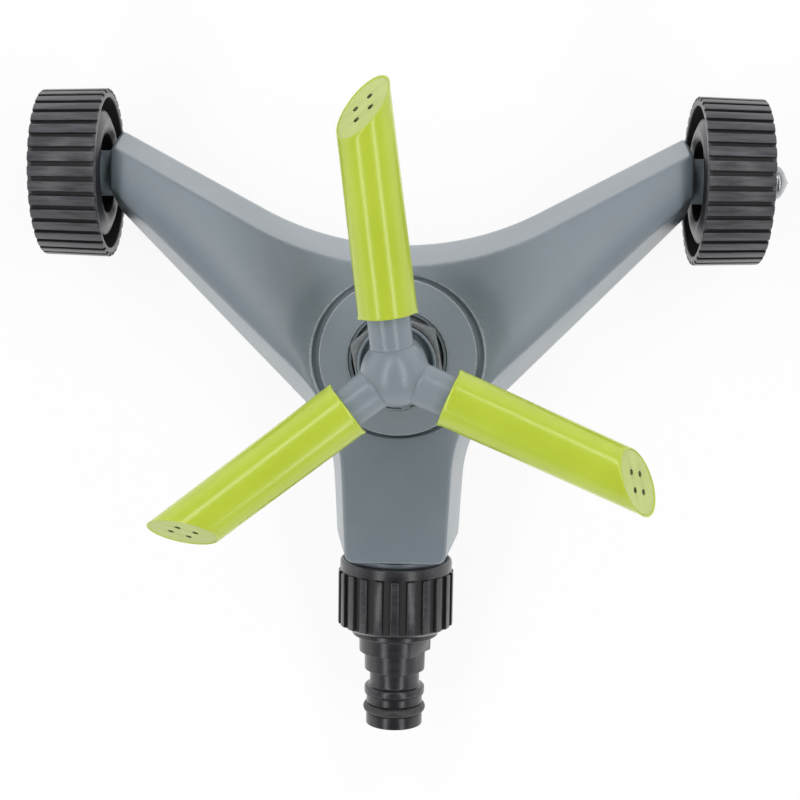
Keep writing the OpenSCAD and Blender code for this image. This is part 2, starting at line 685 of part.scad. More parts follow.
module hose_tail() {
    stop_r = tail_d / 2 + 2.1;
    edge = 0.8;
    flat = ridge_d;
    color(black) at_spindle() difference() {
        union() {
            along_inlet(washer_to, flange_to, inlet_d / 2 - 0.3, inlet_d / 2 - 0.3);
            along_inlet(flange_to - cut, flats_to, tail_d / 2, tail_d / 2);
            along_inlet(stop_from, stop_to - edge, stop_r, stop_r);
            along_inlet(stop_to - edge, stop_to, stop_r, tail_d / 2);
            along_inlet(flats_to - cut, step_to - 0.6, ridge_d / 2, ridge_d / 2);
            along_inlet(step_to - 0.6, step_to, ridge_d / 2, neck_d / 2);
            along_inlet(step_to - cut, neck_end + cut, neck_d / 2, neck_d / 2);
            along_inlet(neck_end, neck_end + edge, ridge_d / 2 - edge, ridge_d / 2);
            along_inlet(neck_end + edge, ridge_end - edge, ridge_d / 2, ridge_d / 2);
            along_inlet(ridge_end - edge, ridge_end, ridge_d / 2, nose_d / 2);
            along_inlet(ridge_end - cut, nose_to - edge, nose_d / 2, nose_d / 2);
            along_inlet(nose_to - edge, nose_to, nose_d / 2, nose_d / 2 - edge);
        }
        along_inlet(washer_to - cut, nose_to + cut, nose_bore / 2, nose_bore / 2);
        along_inlet(washer_to - cut, washer_to + 6, pipe_bore / 2 - 1, nose_bore / 2);
        for (a = [45:90:315]) translate([0, 0, inlet_z]) rotate([0, a, 0]) {
            translate([-flat / 2, -flats_to - cut, tail_d / 2 - 0.6]) cube([flat, flats_to - stop_to + cut, flat]);
            translate([-flat / 2, -step_to - cut, ridge_d / 2 - 0.3]) cube([flat, step_to - stop_to + cut, flat]);
        }
        difference() {
            along_inlet(ring_from, ring_to, nose_d / 2 + cut, nose_d / 2 + cut);
            along_inlet(ring_from - cut, ring_to + cut, ring_floor_r, ring_floor_r);
        }
    }
}

module inlet_washer() {
    color(black) at_spindle() difference() {
        along_inlet(thread_to + seat_gap, washer_to - seat_gap, inlet_d / 2 - 0.3, inlet_d / 2 - 0.3);
        along_inlet(thread_to - cut, washer_to + cut, pipe_bore / 2 + 0.4, pipe_bore / 2 + 0.4);
    }
}

module nose_seal() {
    seal_s = (ring_to - ring_from) / 2 - 0.02;
    color(black) at_spindle() translate([0, -(ring_from + ring_to) / 2, inlet_z]) rotate([90, 0, 0])
        torus(ring_floor_r + seal_s + 0.04, seal_s);
}

base_shell();
riser_body();
elbow_screws();
inlet_pipe();
pipe_seal();
gland_nut();
rotor_stem();
lower_thrust_washer();
upper_thrust_washer();
stem_seal();
rotor_hub();
arm_tube_rear();
arm_tube_left();
arm_tube_right();
nozzle_plate_rear();
nozzle_plate_left();
nozzle_plate_right();
arm_seals();
left_axle();
right_axle();
left_axle_washer();
right_axle_washer();
left_axle_clip();
right_axle_cap();
left_wheel();
right_wheel();
coupling_nut();
hose_tail();
inlet_washer();
nose_seal();
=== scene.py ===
"""Rotary lawn sprinkler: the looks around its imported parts.

Shapes are worked out in millimetres from the spindle's axis, with X to the right wheel, the hose inlet
towards -Y and Z up from the ground, and become metres in the part's frame when a piece is made.
"""

import json
import math

import bmesh
import bpy
import numpy as np
from mathutils import Matrix, Vector
from mathutils.geometry import tessellate_polygon


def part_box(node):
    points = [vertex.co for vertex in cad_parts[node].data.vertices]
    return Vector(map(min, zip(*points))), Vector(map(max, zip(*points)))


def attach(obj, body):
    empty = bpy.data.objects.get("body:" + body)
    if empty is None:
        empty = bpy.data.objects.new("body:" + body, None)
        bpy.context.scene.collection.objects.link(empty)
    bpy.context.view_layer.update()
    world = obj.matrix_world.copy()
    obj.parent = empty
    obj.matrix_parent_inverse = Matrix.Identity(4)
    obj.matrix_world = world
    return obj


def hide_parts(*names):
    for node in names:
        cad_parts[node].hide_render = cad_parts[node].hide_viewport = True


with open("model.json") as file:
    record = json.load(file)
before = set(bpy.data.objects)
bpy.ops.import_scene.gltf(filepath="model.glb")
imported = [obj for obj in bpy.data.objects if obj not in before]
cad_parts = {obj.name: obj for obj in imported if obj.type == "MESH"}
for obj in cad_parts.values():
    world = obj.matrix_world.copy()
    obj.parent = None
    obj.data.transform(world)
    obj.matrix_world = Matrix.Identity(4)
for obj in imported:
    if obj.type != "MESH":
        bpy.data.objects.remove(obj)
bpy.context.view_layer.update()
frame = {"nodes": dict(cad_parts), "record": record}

MM = 0.001


def node_box(node):
    """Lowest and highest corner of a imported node, in millimetres from the spindle."""
    low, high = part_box(node)
    shift = np.array([0.0, SPINDLE_Y, 0.0])
    return np.array(low) / MM - shift, np.array(high) / MM - shift


stem_low, stem_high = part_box("rotor_stem")
SPINDLE_Y = (stem_low[1] + stem_high[1]) / 2 / MM

# Wear and painted light on a mesh's points, from painted shade in hollows to rubbed crests and painted
# highlights
HOLLOW_SHADE = -1.0
RUBBED_AND_LIT = 1.0

# Wheels and axles, with stations counted from a wheel's inner face
WHEEL_LOW, WHEEL_HIGH = node_box("right_wheel")
WHEEL_R = (WHEEL_HIGH[2] - WHEEL_LOW[2]) / 2
WHEEL_X = WHEEL_LOW[0]
WHEEL_W = WHEEL_HIGH[0] - WHEEL_LOW[0]
WHEEL_DRAFT = 0.5
WHEEL_BACK = WHEEL_W - 3.0
WHEEL_WALL = 2.0
AXLE_Y = (WHEEL_LOW[1] + WHEEL_HIGH[1]) / 2
AXLE_Z = WHEEL_R
AXLE_R = 2.5
AXLE_PLAY = 0.06
TREAD_RIBS = 36
TREAD_RIB_W = 2.75
TREAD_DEEP = 0.7
TREAD_FLOOR = WHEEL_R - TREAD_DEEP
TREAD_EDGE = 1.2
RIM_IN = WHEEL_R - 2.4
DRUM_R = 17.25
DRUM_SUNK = 1.6
DRUM_BACK = 3.0
CUP_R = 10.7
CUP_SUNK = 1.0
CUP_DEEP = 6.0
CREST_R = CUP_R + 3.2
CREST_SUNK = 0.2
WHEEL_HUB_R = 5.3
WHEEL_HUB_SUNK = 3.4
SPOKES = 6
SPOKE_HALF = 1.0
BOSS_R = 6.2
BOSS_ROOT_R = BOSS_R - 0.9
BOSS_DEEP = 7.0
BOSS_STEP = 1.0
BOSS_OUT = node_box("base_shell")[1][0]
CAP_LOW, CAP_HIGH = node_box("right_axle_cap")
CAP_POINT = 3.6
CAP_BULGE = 1.6
CAP_SOCKET = 4.5

# Base: the top falls from the hub to the leg ends by a power curve, the lower rim falls straight
WALL = 2.4
HUB_TOP = 46.0
LEG_TOP = 34.0
TOP_CURVE = 1.35
HUB_RIM = 18.0
LEG_RIM = 12.0
LEG_END_X = WHEEL_X - 0.7
LEG_END_W = 22.8
LEG_END_BACK = 1.1
REAR_SLOPE = 27.75
REAR_SWEEP = 83.0
FRONT_SLOPE = 45.0
CROTCH_R = 40.0
FRONT_ROOT_W = 19.8
FRONT_END_W = 18.0
LEG_CORNER_R = 1.2
FOOT_CORNER_R = 2.6

# Front foot, where the lower rim curves down to the ground, and the bulkhead behind its wall
FRONT_REACH = SPINDLE_Y + 3.0
SOLE = 6.0
RIM_FALL_FROM = 12.0
RIM_FALL_RUN = FRONT_REACH - SOLE - 14.0
BULKHEAD_HALF = FRONT_END_W - WALL - 0.3
BULKHEAD_BEHIND = 1.6
BULKHEAD_OVER = 12.0
BULKHEAD_LIFT = 0.05

# How far the ridge stands in from the rim
REAR_DRAW = 5.0
END_DRAW = 6.4
END_DRAW_X = 1.0
CROTCH_DRAW = 4.4
CROTCH_DRAW_BACK = CROTCH_DRAW * 1.7
SIDE_DRAW = 4.3
FRONT_DRAW = 1.3

# Rounding of the base's edges
FOOT_ROUND = 0.6
WALL_BOW = 0.15
RIDGE_ROUND = 0.9
SHOULDER = 4.0
SHOULDER_CLEAR = 0.35
MOAT_ROUND = 0.6

# Relief of the panels: an arch across each leg that falls away to its front ridge, and a short
# rounding at the leg's end. It fades towards the moat, and the arch also on the front leg.
ARCH_SPAN = 18.0
ARCH_RISE = 0.20
ARCH_BEND = 0.125
ARCH_FALL = 0.15
END_DROP = 1.2
END_RUN = 4.5
FRONT_FADE_FROM = 16.0
FRONT_FADE_RUN = 14.0
HUB_FADE_RUN = 8.0

# Ribs under the legs
LEG_RIB_SHORT = 14.0
LEG_RIB_HUB_FOOT = HUB_RIM + 14.0
LEG_RIB_END_FOOT = LEG_RIM + 10.0

# Hub: the moat's outer radius grows sideways from MOAT_R to HUB_R
DISC_R = 20.6
HUB_R = 23.0
HUB_UNDER_R = HUB_R + 1.2
MOAT_R = 21.8
MOAT_CURVE = 1.5
MOAT_FLOOR = 44.3
DISC_OUT = DISC_R + 0.3
DISC_FOOT_R = DISC_OUT + 0.35
DISC_EDGE = 46.8
DISC_UNDER = 42.0
WELL_R = 13.1
LEDGE_R = 12.1
WELL_FLOOR = 46.0
WELL_LIP = 51.8
LEDGE_Z = WELL_LIP - 0.7
RISER_HOLE = 9.15

# Gland nut: across its flats, and the share of the flats that its chamfer leaves on top
GLAND_LOW, GLAND_HIGH = node_box("gland_nut")
GLAND_AF = 22.3
GLAND_LAND = 0.965
GLAND_CUP_R = 10.05
GLAND_CUP_DEEP = 1.6
GLAND_FLANGE_R = 11.9
GLAND_FLANGE_T = 3.0
GLAND_EDGE = 0.4
GLAND_TURN = 11.0

# Rotor
BALL_Z = 84.0
BALL_R = 8.4
SKIRT_Z = node_box("rotor_hub")[0][2]
SKIRT_R = 10.1
SKIRT_DEEP = 2.4
SKIRT_EDGE = 0.6
NECK_OUT = BALL_R - 1.0
NECK_TOP = BALL_Z - 6.0
STEM_R = 6.0
STEM_PLAY = 0.4
STUB_R = 5.25
STUB_LEN = 30.0
STUB_BORE = 3.2
STUB_DEEP = 12.0
STUB_GROOVE = STUB_LEN - 5.0
STUB_GROOVE_W = 1.8
STUB_GROOVE_R = STUB_R - 1.3
ARM_TURN = 97.4
ARM_CLIMB = 8.0
ARM_TURNS = {"rear": 0.0, "left": 120.0, "right": 240.0}
TUBE_START = 14.6
TUBE_REACH = 64.0
TUBE_SOCKET = 18.0
TUBE_R = 7.2
TUBE_TIP_R = 6.9
TUBE_PLAY = 0.04
TUBE_LIP = 0.12
PLATE_R = 6.5
PLATE_T = 2.0
PLATE_SUNK = 0.15
PLATE_PLAY = 0.04
PLATE_EDGE = 0.06
JET_R = 0.7
JET_FLARE = 0.12
JET_GAP = 3.6

# Flash at a tube's root: its height, and the angle and width of each tag round the tube
FLASH_HIGH = 0.3
FLASH_TAGS = (0.2, 0.15), (2.95, 0.12)

# The way the tube mouths look, along the arm, to its left and up
FACE_LOOK = np.array([1.0, 0.72, 0.6])
FACE_RUN = np.linalg.norm(FACE_LOOK) / FACE_LOOK[0]

# Hose inlet, with stations counted before the spindle
INLET_Z = 22.0
NUT_LOW, NUT_HIGH = node_box("coupling_nut")
NUT_FROM = -NUT_HIGH[1]
NUT_TO = -NUT_LOW[1]
NUT_R = (NUT_HIGH[0] - NUT_LOW[0]) / 2
NUT_FLOOR = NUT_R - 0.85
NUT_RIBS = 22
NUT_RIB_W = 2.35
NUT_BORE = 13.26
NUT_SEAT = NUT_BORE + 1.1
TAIL_R = 10.2
TAIL_PLAY = 0.15
TAIL_FLANGE_R = 12.9
TAIL_STOP_R = TAIL_R + 2.1
NECK_R = 7.1
RIDGE_R = 8.6
FLAT_HALF = 8.35
FLAT_TURN = math.radians(30)
NOSE_R = 8.0
NOSE_TIP_R = NOSE_R + 0.05
NOSE_BORE = 4.5
NOSE_FUNNEL_R = NOSE_BORE + 2.2
NOSE_FUNNEL = 8.0
NOSE_TO = -node_box("hose_tail")[0][1]
SEAL_PLAY = 0.02
SEAL_FROM = -node_box("nose_seal")[1][1] - SEAL_PLAY
SEAL_TO = SEAL_PLAY - node_box("nose_seal")[0][1]
SEAL_DEEP = 1.9

# Camera: height and turn fitted to the wheels, the hub's rings, the ball and the nut
CAMERA_AT = (7.13, 42.39, 470.88)
CAMERA_TILT = 0.126
CAMERA_SWAY = -0.015
CAMERA_ROLL = -0.015
FOCAL_PIXELS = 1608.0
PHOTO_WIDTH = 800.0
SENSOR_WIDTH = 36.0

# Light, in metres and watts: two long soft boxes, and a surround that fades from the horizon up
SOFT_BOX_ASIDE = 0.55
SOFT_BOX_BACK = 0.12
SOFT_BOX_UP = 1.02
SOFT_BOX_LONG = 2.4
SOFT_BOX_WIDE = 0.18
SOFT_BOX_WATTS = 9.3
AIM_UP = 0.05
HORIZON_GLOW = 1.6
ZENITH_GLOW = 0.12
ZENITH_FROM = 0.6
FLOOR_HALF = 3.0
FLOOR_WHITE = 0.93
FLOOR_SHOWN = 0.9
FLOOR_SHEEN = 0.3


def unit(v):
    return v / np.linalg.norm(v)


def smooth_step(x):
    x = np.clip(x, 0.0, 1.0)
    return x * x * (3 - 2 * x)


def corner_arc(p, a, b, radius, steps):
    """Arc of a radius in the corner p between its neighbours a and b."""
    u, v = unit(a - p), unit(b - p)
    half = math.acos(np.clip(u @ v, -1, 1)) / 2
    centre = p + unit(u + v) * radius / math.sin(half)
    start = p + u * radius / math.tan(half) - centre
    side = math.copysign(1, u[0] * v[1] - u[1] * v[0])
    turn = -side * (math.pi - 2 * half) * np.arange(steps + 1) / steps
    x = start[0] * np.cos(turn) - start[1] * np.sin(turn)
    y = start[0] * np.sin(turn) + start[1] * np.cos(turn)
    return centre + np.stack([x, y], 1)


def rounded(corners, steps):
    """An open line through corners, with an arc where a corner's place is followed by a radius."""
    places = [np.array(corner[:2], float) for corner in corners]
    line = []
    for i, corner in enumerate(corners):
        if len(corner) == 3:
            line.append(corner_arc(places[i], places[i - 1], places[i + 1], corner[2], steps))
        else:
            line.append(places[i][None])
    return np.concatenate(line)


class Skin:
    """Points and faces of one piece, gathered from several closed shells."""

    def __init__(self):
        self.points = []
        self.wear_and_painted_light = []
        self.faces = []
        self.count = 0

    def grid(self, rings, around=True, closed=False, wear_and_painted_light=0.0):
        """Quads between rings of equal length. `closed` joins the last ring to the first."""
        rings = np.asarray(rings, float)
        k, n, _ = rings.shape
        ids = self.count + np.arange(k * n).reshape(k, n)
        a = ids if closed else ids[:-1]
        b = np.roll(ids, -1, axis=0) if closed else ids[1:]
        if around:
            quads = np.stack([a, np.roll(a, -1, 1), np.roll(b, -1, 1), b], -1)
        else:
            quads = np.stack([a[:, :-1], a[:, 1:], b[:, 1:], b[:, :-1]], -1)
        self.points.append(rings.reshape(-1, 3))
        self.wear_and_painted_light.append(np.broadcast_to(np.asarray(wear_and_painted_light, float), (k, n)).reshape(-1))
        self.faces += quads.reshape(-1, 4).tolist()
        self.count += k * n
        return self

    def polygons(self, points, faces):
        points = np.asarray(points, float)
        self.faces += [[self.count + i for i in f] for f in faces]
        self.points.append(points)
        self.wear_and_painted_light.append(np.zeros(len(points)))
        self.count += len(points)

    def turned(self, place, profile, steps, radius_of=None, wear_and_painted_light=0.0):
        """A profile of distances and radii, turned round an axis. `place` puts it in space."""
        profile = np.asarray(profile, float)
        angle = 2 * math.pi * np.arange(steps) / steps
        along, radius = profile[:, 0, None], profile[:, 1, None]
        radius = np.broadcast_to(radius, (len(profile), steps))
        if radius_of is not None:
            radius = radius_of(along, angle[None], radius)
        along = np.broadcast_to(along, radius.shape)
        angle = np.broadcast_to(angle[None], radius.shape)
        ends_meet = np.allclose(profile[0], profile[-1])
        rings = np.stack(place(along, angle, radius), -1)
        if not ends_meet:
            return self.grid(rings, wear_and_painted_light=wear_and_painted_light)
        marks = np.broadcast_to(np.asarray(wear_and_painted_light, float), radius.shape)
        return self.grid(rings[:-1], closed=True, wear_and_painted_light=marks[:-1])

    def mesh(self, name, shift=(0, 0, 0)):
        """The gathered points and faces as a mesh in metres, with their wear and painted light."""
        points = np.concatenate(self.points) + shift
        mesh = bpy.data.meshes.new(name)
        mesh.from_pydata((points * MM).tolist(), [], self.faces)
        wear_and_painted_light = mesh.attributes.new("wear_and_painted_light", "FLOAT", "POINT")
        wear_and_painted_light.data.foreach_set("value", np.concatenate(self.wear_and_painted_light))
        return mesh


def round_spindle(along, angle, radius):
    return radius * np.cos(angle), radius * np.sin(angle), along


def round_inlet(along, angle, radius):
    return radius * np.cos(angle), -along, INLET_Z + radius * np.sin(angle)


def round_axle(side):
    def place(along, angle, radius):
        return side * along, AXLE_Y + radius * np.cos(angle), AXLE_Z + radius * np.sin(angle)

    return place


def arm_matrix(turn):
    """Moves what is drawn along +X, with +Y to its left, onto an arm."""
    return (
        Matrix.Translation((0, 0, BALL_Z))
        @ Matrix.Rotation(math.radians(ARM_TURN + turn), 4, "Z")
        @ Matrix.Rotation(-math.radians(ARM_CLIMB), 4, "Y")
    )


def round_arm(turn):
    m = np.array(arm_matrix(turn))

    def place(along, angle, radius):
        local = np.stack([along, radius * np.cos(angle), radius * np.sin(angle), np.ones_like(along)])
        return tuple(np.tensordot(m, local, 1)[:3])

    return place


def finish_mesh(mesh, sharp_angle):
    """Merges doubles, turns the faces outwards and marks the sharp edges."""
    bm = bmesh.new()
    bm.from_mesh(mesh)
    bmesh.ops.remove_doubles(bm, verts=bm.verts, dist=1e-7)
    bmesh.ops.dissolve_degenerate(bm, edges=bm.edges, dist=1e-8)
    bmesh.ops.recalc_face_normals(bm, faces=bm.faces)
    for face in bm.faces:
        face.smooth = True
    bm.to_mesh(mesh)
    bm.free()
    mesh.set_sharp_from_angle(angle=math.radians(sharp_angle))


def new_object(name, mesh):
    obj = bpy.data.objects.new(name, mesh)
    bpy.context.scene.collection.objects.link(obj)
    return obj


def make_piece(name, skin, body, finish, stands_for, sharp_angle):
    """A finished mesh piece in the part's frame, riding on a body."""
    mesh = skin.mesh(name, (0, SPINDLE_Y, 0))
    finish_mesh(mesh, sharp_angle)
    mesh.materials.append(finish)
    dress(new_object(name, mesh), body, stands_for)


def dress(obj, body, stands_for=()):
    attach(obj, body)
    if stands_for:
        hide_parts(*stands_for)


class Field:
    """A shader socket with arithmetic: an expression on fields adds its Math nodes."""

    def __init__(self, finish, socket):
        self.finish = finish
        self.socket = socket

    def math(self, operation, *others):
        settings = {"operation": operation}
        return self.finish.node("ShaderNodeMath", settings, dict(enumerate((self,) + others)))

    def __add__(self, other):
        return self.math("ADD", other)

    __radd__ = __add__

    def __mul__(self, other):
        return self.math("MULTIPLY", other)

    __rmul__ = __mul__

    def __sub__(self, other):
        return self.math("SUBTRACT", other)

    def __rsub__(self, other):
        return (self * -1) + other

    def over(self, low, high):
        """0 below low, 1 above high and smooth between them."""
        settings = {"interpolation_type": "SMOOTHSTEP"}
        inputs = {"Value": self, "From Min": low, "From Max": high, "To Min": 0.0, "To Max": 1.0}
        return self.finish.node("ShaderNodeMapRange", settings, inputs)


class Finish:
    """A material under construction, whose fields and colours end on one principled shader."""

    def __init__(self, name):
        self.material = bpy.data.materials.new(name)
        self.material.use_nodes = True
        self.tree = self.material.node_tree
        self.tree.nodes.clear()
        self.where = self.node("ShaderNodeTexCoord", {}, {}, "Object")

    def node(self, kind, settings, inputs, output=0):
        """Adds a node: its settings first, then the values or links of its sockets."""
        node = self.tree.nodes.new(kind)
        for key, value in settings.items():
            setattr(node, key, value)
        for key, value in inputs.items():
            if isinstance(value, Field):
                self.tree.links.new(value.socket, node.inputs[key])
            else:
                node.inputs[key].default_value = value
        return Field(self, node.outputs[output]) if node.outputs else None

    def attribute(self, name):
        return self.node("ShaderNodeAttribute", {"attribute_name": name}, {}, "Fac")

    def stretched(self, scale):
        return self.node("ShaderNodeMapping", {}, {"Vector": self.where, "Scale": scale})

    def noise(self, per_metre, detail=2.0, rough=0.5, where=None):
        inputs = {"Vector": where or self.where, "Scale": per_metre, "Detail": detail, "Roughness": rough}
        return self.node("ShaderNodeTexNoise", {}, inputs, "Fac")

    def cells(self, per_metre):
        inputs = {"Vector": self.where, "Scale": per_metre}
        return self.node("ShaderNodeTexVoronoi", {}, inputs, "Distance")

    def blend(self, factor, one, other):
        settings = {"data_type": "RGBA", "blend_type": "MIX"}
        inputs = {"Factor": factor, 6: one, 7: other}
        return self.node("ShaderNodeMix", settings, inputs, 2)

    def bump(self, height, distance, strength=1.0, under=None):
        inputs = {"Height": height, "Distance": distance, "Strength": strength}
        if under is not None:
            inputs["Normal"] = under
        return self.node("ShaderNodeBump", {}, inputs)

    def done(self, **inputs):
        """Ends the material on a principled shader. Underscores in the names stand for spaces."""
        named = {key.replace("_", " "): value for key, value in inputs.items()}
        shader = self.node("ShaderNodeBsdfPrincipled", {}, named)
        self.node("ShaderNodeOutputMaterial", {}, {"Surface": shader})
        return self.material


def rgb(red, green, blue):
    return (red, green, blue, 1.0)


def grey_moulding(name, grain, rough_low, rough_high, low, high):
    """Grey injection moulded plastic with a fine orange peel, paler rubbed edges, light flecks and painted
    highlights.
    """
    f = Finish(name)
    flow = f.noise(38, 4, 0.55)
    peel = f.noise(1500, 3, 0.6)
    speck = f.cells(520)
    wear_and_painted_light = f.attribute("wear_and_painted_light")
    marks = (wear_and_painted_light * (f.noise(1300, 3, 0.7).over(0.30, 0.62) * 0.6 + 0.4)).over(0.12, 0.8)
    dust = f.noise(2600, 2, 0.5).over(0.68, 0.78)
    tone = f.blend(flow.over(0.3, 0.7), rgb(*low), rgb(*high))
    # Paler where the points are marked: rubbed edges, and painted highlights along the moat's rim, the
    # well's lip and the disc's edge
    tone = f.blend(marks * 0.7, tone, rgb(0.50, 0.54, 0.57))
    tone = f.blend(dust * 0.10, tone, rgb(0.5, 0.52, 0.54))
    skin = f.bump(peel * 0.7 + speck * 0.3, grain * MM)
    waves = f.bump(f.noise(150, 2, 0.5), 0.12 * MM, 0.35, skin)
    rough = flow.over(0.2, 0.8) * (rough_high - rough_low) + (peel * 0.06 + rough_low) - marks * 0.08
    return f.done(Base_Color=tone, Roughness=rough, Normal=waves, IOR=1.5)


def lime_tube():
    """Glossy lime green tube, drawn along its length, with a few light scuffs."""
    f = Finish("lime_tube_gloss")
    flow = f.noise(60, 3, 0.5)
    scuff = f.noise(700, 4, 0.7).over(0.62, 0.80)
    tone = f.blend(flow.over(0.25, 0.75), rgb(0.425, 0.522, 0.036), rgb(0.460, 0.560, 0.046))
    tone = f.blend(scuff * 0.12, tone, rgb(0.62, 0.72, 0.22))
    drawn = f.bump(f.noise(240, 2, 0.5), 0.04 * MM, 0.4)
    peel = f.bump(f.noise(1900, 2, 0.5), 0.012 * MM, 0.6, drawn)
    rough = flow * 0.06 + scuff * 0.12 + 0.20
    return f.done(Base_Color=tone, Roughness=rough, Normal=peel, IOR=1.5,
                  Subsurface_Weight=0.12, Subsurface_Scale=0.002, Subsurface_Radius=(1.0, 1.0, 0.2))


def pale_lime_plate():
    """Matte pale lime plate pressed into the tube's mouth, with painted shade inside its jet holes."""
    f = Finish("pale_lime_plate_matte")
    flow = f.noise(160, 3, 0.5)
    tone = f.blend(flow.over(0.3, 0.7), rgb(0.45, 0.53, 0.15), rgb(0.49, 0.57, 0.18))
    # Painted shade: the walls of the jet holes go dark olive
    tone = f.blend(f.attribute("wear_and_painted_light"), tone, rgb(0.030, 0.042, 0.004))
    grain = f.bump(f.noise(2400, 3, 0.6), 0.03 * MM)
    return f.done(Base_Color=tone, Roughness=flow * 0.1 + 0.46, Normal=grain, IOR=1.48)


def black_moulding(name, shade, rough, grain, rubbed):
    """Black moulded plastic with a fine grain, painted shade in its hollows and greyer rubbed crests."""
    f = Finish(name)
    flow = f.noise(70, 4, 0.6)
    fine = f.noise(2100, 3, 0.65)
    streak = f.noise(900, 3, 0.6, f.stretched((0.12, 1, 1)))
    wear_and_painted_light = f.attribute("wear_and_painted_light")
    marks = wear_and_painted_light.math("MAXIMUM", 0.0) * (streak.over(0.30, 0.72) * 0.7 + 0.3)
    # Painted shade: points marked below zero go near black and rougher, in grooves, cups and between ribs
    hollow = (wear_and_painted_light * -1).over(0.0, 1.0)
    deep, pale = rgb(shade, shade, shade * 1.3), rgb(shade * 1.3, shade * 1.32, shade * 1.7)
    tone = f.blend(flow.over(0.3, 0.7), deep, pale)
    tone = f.blend(marks * rubbed, tone, rgb(0.165, 0.165, 0.185))
    tone = f.blend(fine.over(0.66, 0.78) * 0.10, tone, rgb(0.3, 0.3, 0.3))
    tone = f.blend(hollow, tone, rgb(0.002, 0.002, 0.002))
    skin = f.bump(fine, grain * MM)
    roughness = flow * 0.12 + marks * 0.08 + fine * 0.06 + hollow * 0.55 + (rough - 0.09)
    return f.done(Base_Color=tone, Roughness=roughness, Normal=skin, IOR=1.5)


def seal_rubber():
    f = Finish("seal_rubber_black")
    bloom = f.noise(300, 4, 0.6)
    tone = f.blend(bloom.over(0.35, 0.7), rgb(0.016, 0.016, 0.017), rgb(0.034, 0.034, 0.035))
    skin = f.bump(f.noise(2600, 2, 0.5), 0.02 * MM)
    return f.done(Base_Color=tone, Roughness=bloom * 0.15 + 0.42, Normal=skin, IOR=1.52)


def turned_metal(name, colour, rough, line_depth):
    """Metal with fine turning lines, spangle and a little tarnish."""
    f = Finish(name)
    spangle = f.noise(420, 3, 0.6)
    lines = f.noise(5200, 2, 0.6, f.stretched((1, 0.2, 0.2)))
    dull = tuple(c * 0.78 for c in colour)
    tone = f.blend(spangle.over(0.3, 0.75), rgb(*colour), rgb(*dull))
    skin = f.bump(lines, line_depth * MM)
    return f.done(Base_Color=tone, Metallic=1.0, Roughness=spangle * 0.14 + (rough - 0.07), Normal=skin)


def white_nylon():
    f = Finish("white_nylon_slip")
    flow = f.noise(400, 3, 0.5)
    tone = f.blend(flow.over(0.3, 0.7), rgb(0.74, 0.73, 0.69), rgb(0.82, 0.81, 0.78))
    skin = f.bump(f.noise(2000, 2, 0.5), 0.01 * MM)
    return f.done(Base_Color=tone, Roughness=flow * 0.1 + 0.4, Normal=skin)


BLUE_GREY = (0.168, 0.203, 0.232), (0.190, 0.226, 0.256)
PALE_BLUE_GREY = (0.190, 0.229, 0.261), (0.212, 0.252, 0.286)
SLATE = (0.135, 0.148, 0.160), (0.150, 0.163, 0.175)
BASE_GREY = grey_moulding("base_grey_grained", 0.040, 0.30, 0.38, *BLUE_GREY)
ROTOR_GREY = grey_moulding("rotor_grey_smooth", 0.010, 0.27, 0.34, *PALE_BLUE_GREY)
GLAND_GREY = grey_moulding("gland_slate_smooth", 0.010, 0.27, 0.34, *SLATE)
LIME = lime_tube()
PALE_LIME = pale_lime_plate()
WHEEL_BLACK = black_moulding("wheel_black_satin", 0.012, 0.36, 0.030, 0.60)
NUT_BLACK = black_moulding("coupling_black_satin", 0.009, 0.29, 0.018, 0.32)
RUBBER = seal_rubber()
ZINC = turned_metal("zinc_plated_steel", (0.62, 0.63, 0.64), 0.34, 0.006)
BRIGHT = turned_metal("bright_plated_cap", (0.36, 0.37, 0.385), 0.30, 0.002)
BRASS = turned_metal("turned_brass", (0.72, 0.52, 0.24), 0.28, 0.006)
NYLON = white_nylon()


def base_outline(corners, radii, edge_shares):
    """Closed outline through corners, with an arc in each and points on each edge between arcs."""
    n = len(corners)
    arcs = [corner_arc(corners[i], corners[i - 1], corners[(i + 1) % n], radii[i], ARC_STEPS[i])
            for i in range(n)]
    line = []
    for i, arc in enumerate(arcs):
        after = arcs[(i + 1) % n][0]
        line.append(arc)
        line.append(arc[-1] + (after - arc[-1]) * edge_shares[i][:, None])
    return np.concatenate(line)


def drawn_in(corners, depth):
    """Corners moved square to their edges, towards the inside of a clockwise outline."""
    moved = []
    for i, p in enumerate(corners):
        u = unit(corners[i - 1] - p)
        w = unit(corners[(i + 1) % len(corners)] - p)
        half = math.acos(np.clip(u @ w, -1, 1)) / 2
        side = math.copysign(1, u[0] * w[1] - u[1] * w[0])
        moved.append(p + side * unit(u + w) * depth / math.sin(half))
    return moved


def both_sides(right_half):
    """A clockwise outline from its rear middle point and the corners of its right half."""
    left_half = [(-x, y) for x, y in reversed(right_half[1:])]
    return [np.array(p, float) for p in right_half + left_half]


REAR_END = AXLE_Y + LEG_END_BACK + LEG_END_W / 2
FRONT_OF_END = REAR_END - LEG_END_W
RIDGE_END_X = LEG_END_X - END_DRAW_X
REAR_TIP = REAR_END - LEG_END_X * math.tan(math.radians(REAR_SLOPE))
CROTCH_Y = FRONT_OF_END - (LEG_END_X - FRONT_ROOT_W) * math.tan(math.radians(FRONT_SLOPE))
END_REACH = math.hypot(LEG_END_X, AXLE_Y)
RIM_CORNERS = both_sides([(0, REAR_TIP), (LEG_END_X, REAR_END), (LEG_END_X, FRONT_OF_END),
                          (FRONT_ROOT_W, CROTCH_Y), (FRONT_END_W, -FRONT_REACH)])
RIDGE_CORNERS = both_sides([(0, REAR_TIP - REAR_DRAW), (RIDGE_END_X, REAR_END - REAR_DRAW),
                            (RIDGE_END_X, FRONT_OF_END + END_DRAW),
                            (FRONT_ROOT_W - CROTCH_DRAW, CROTCH_Y + CROTCH_DRAW_BACK),
                            (FRONT_END_W - SIDE_DRAW, FRONT_DRAW - FRONT_REACH)])

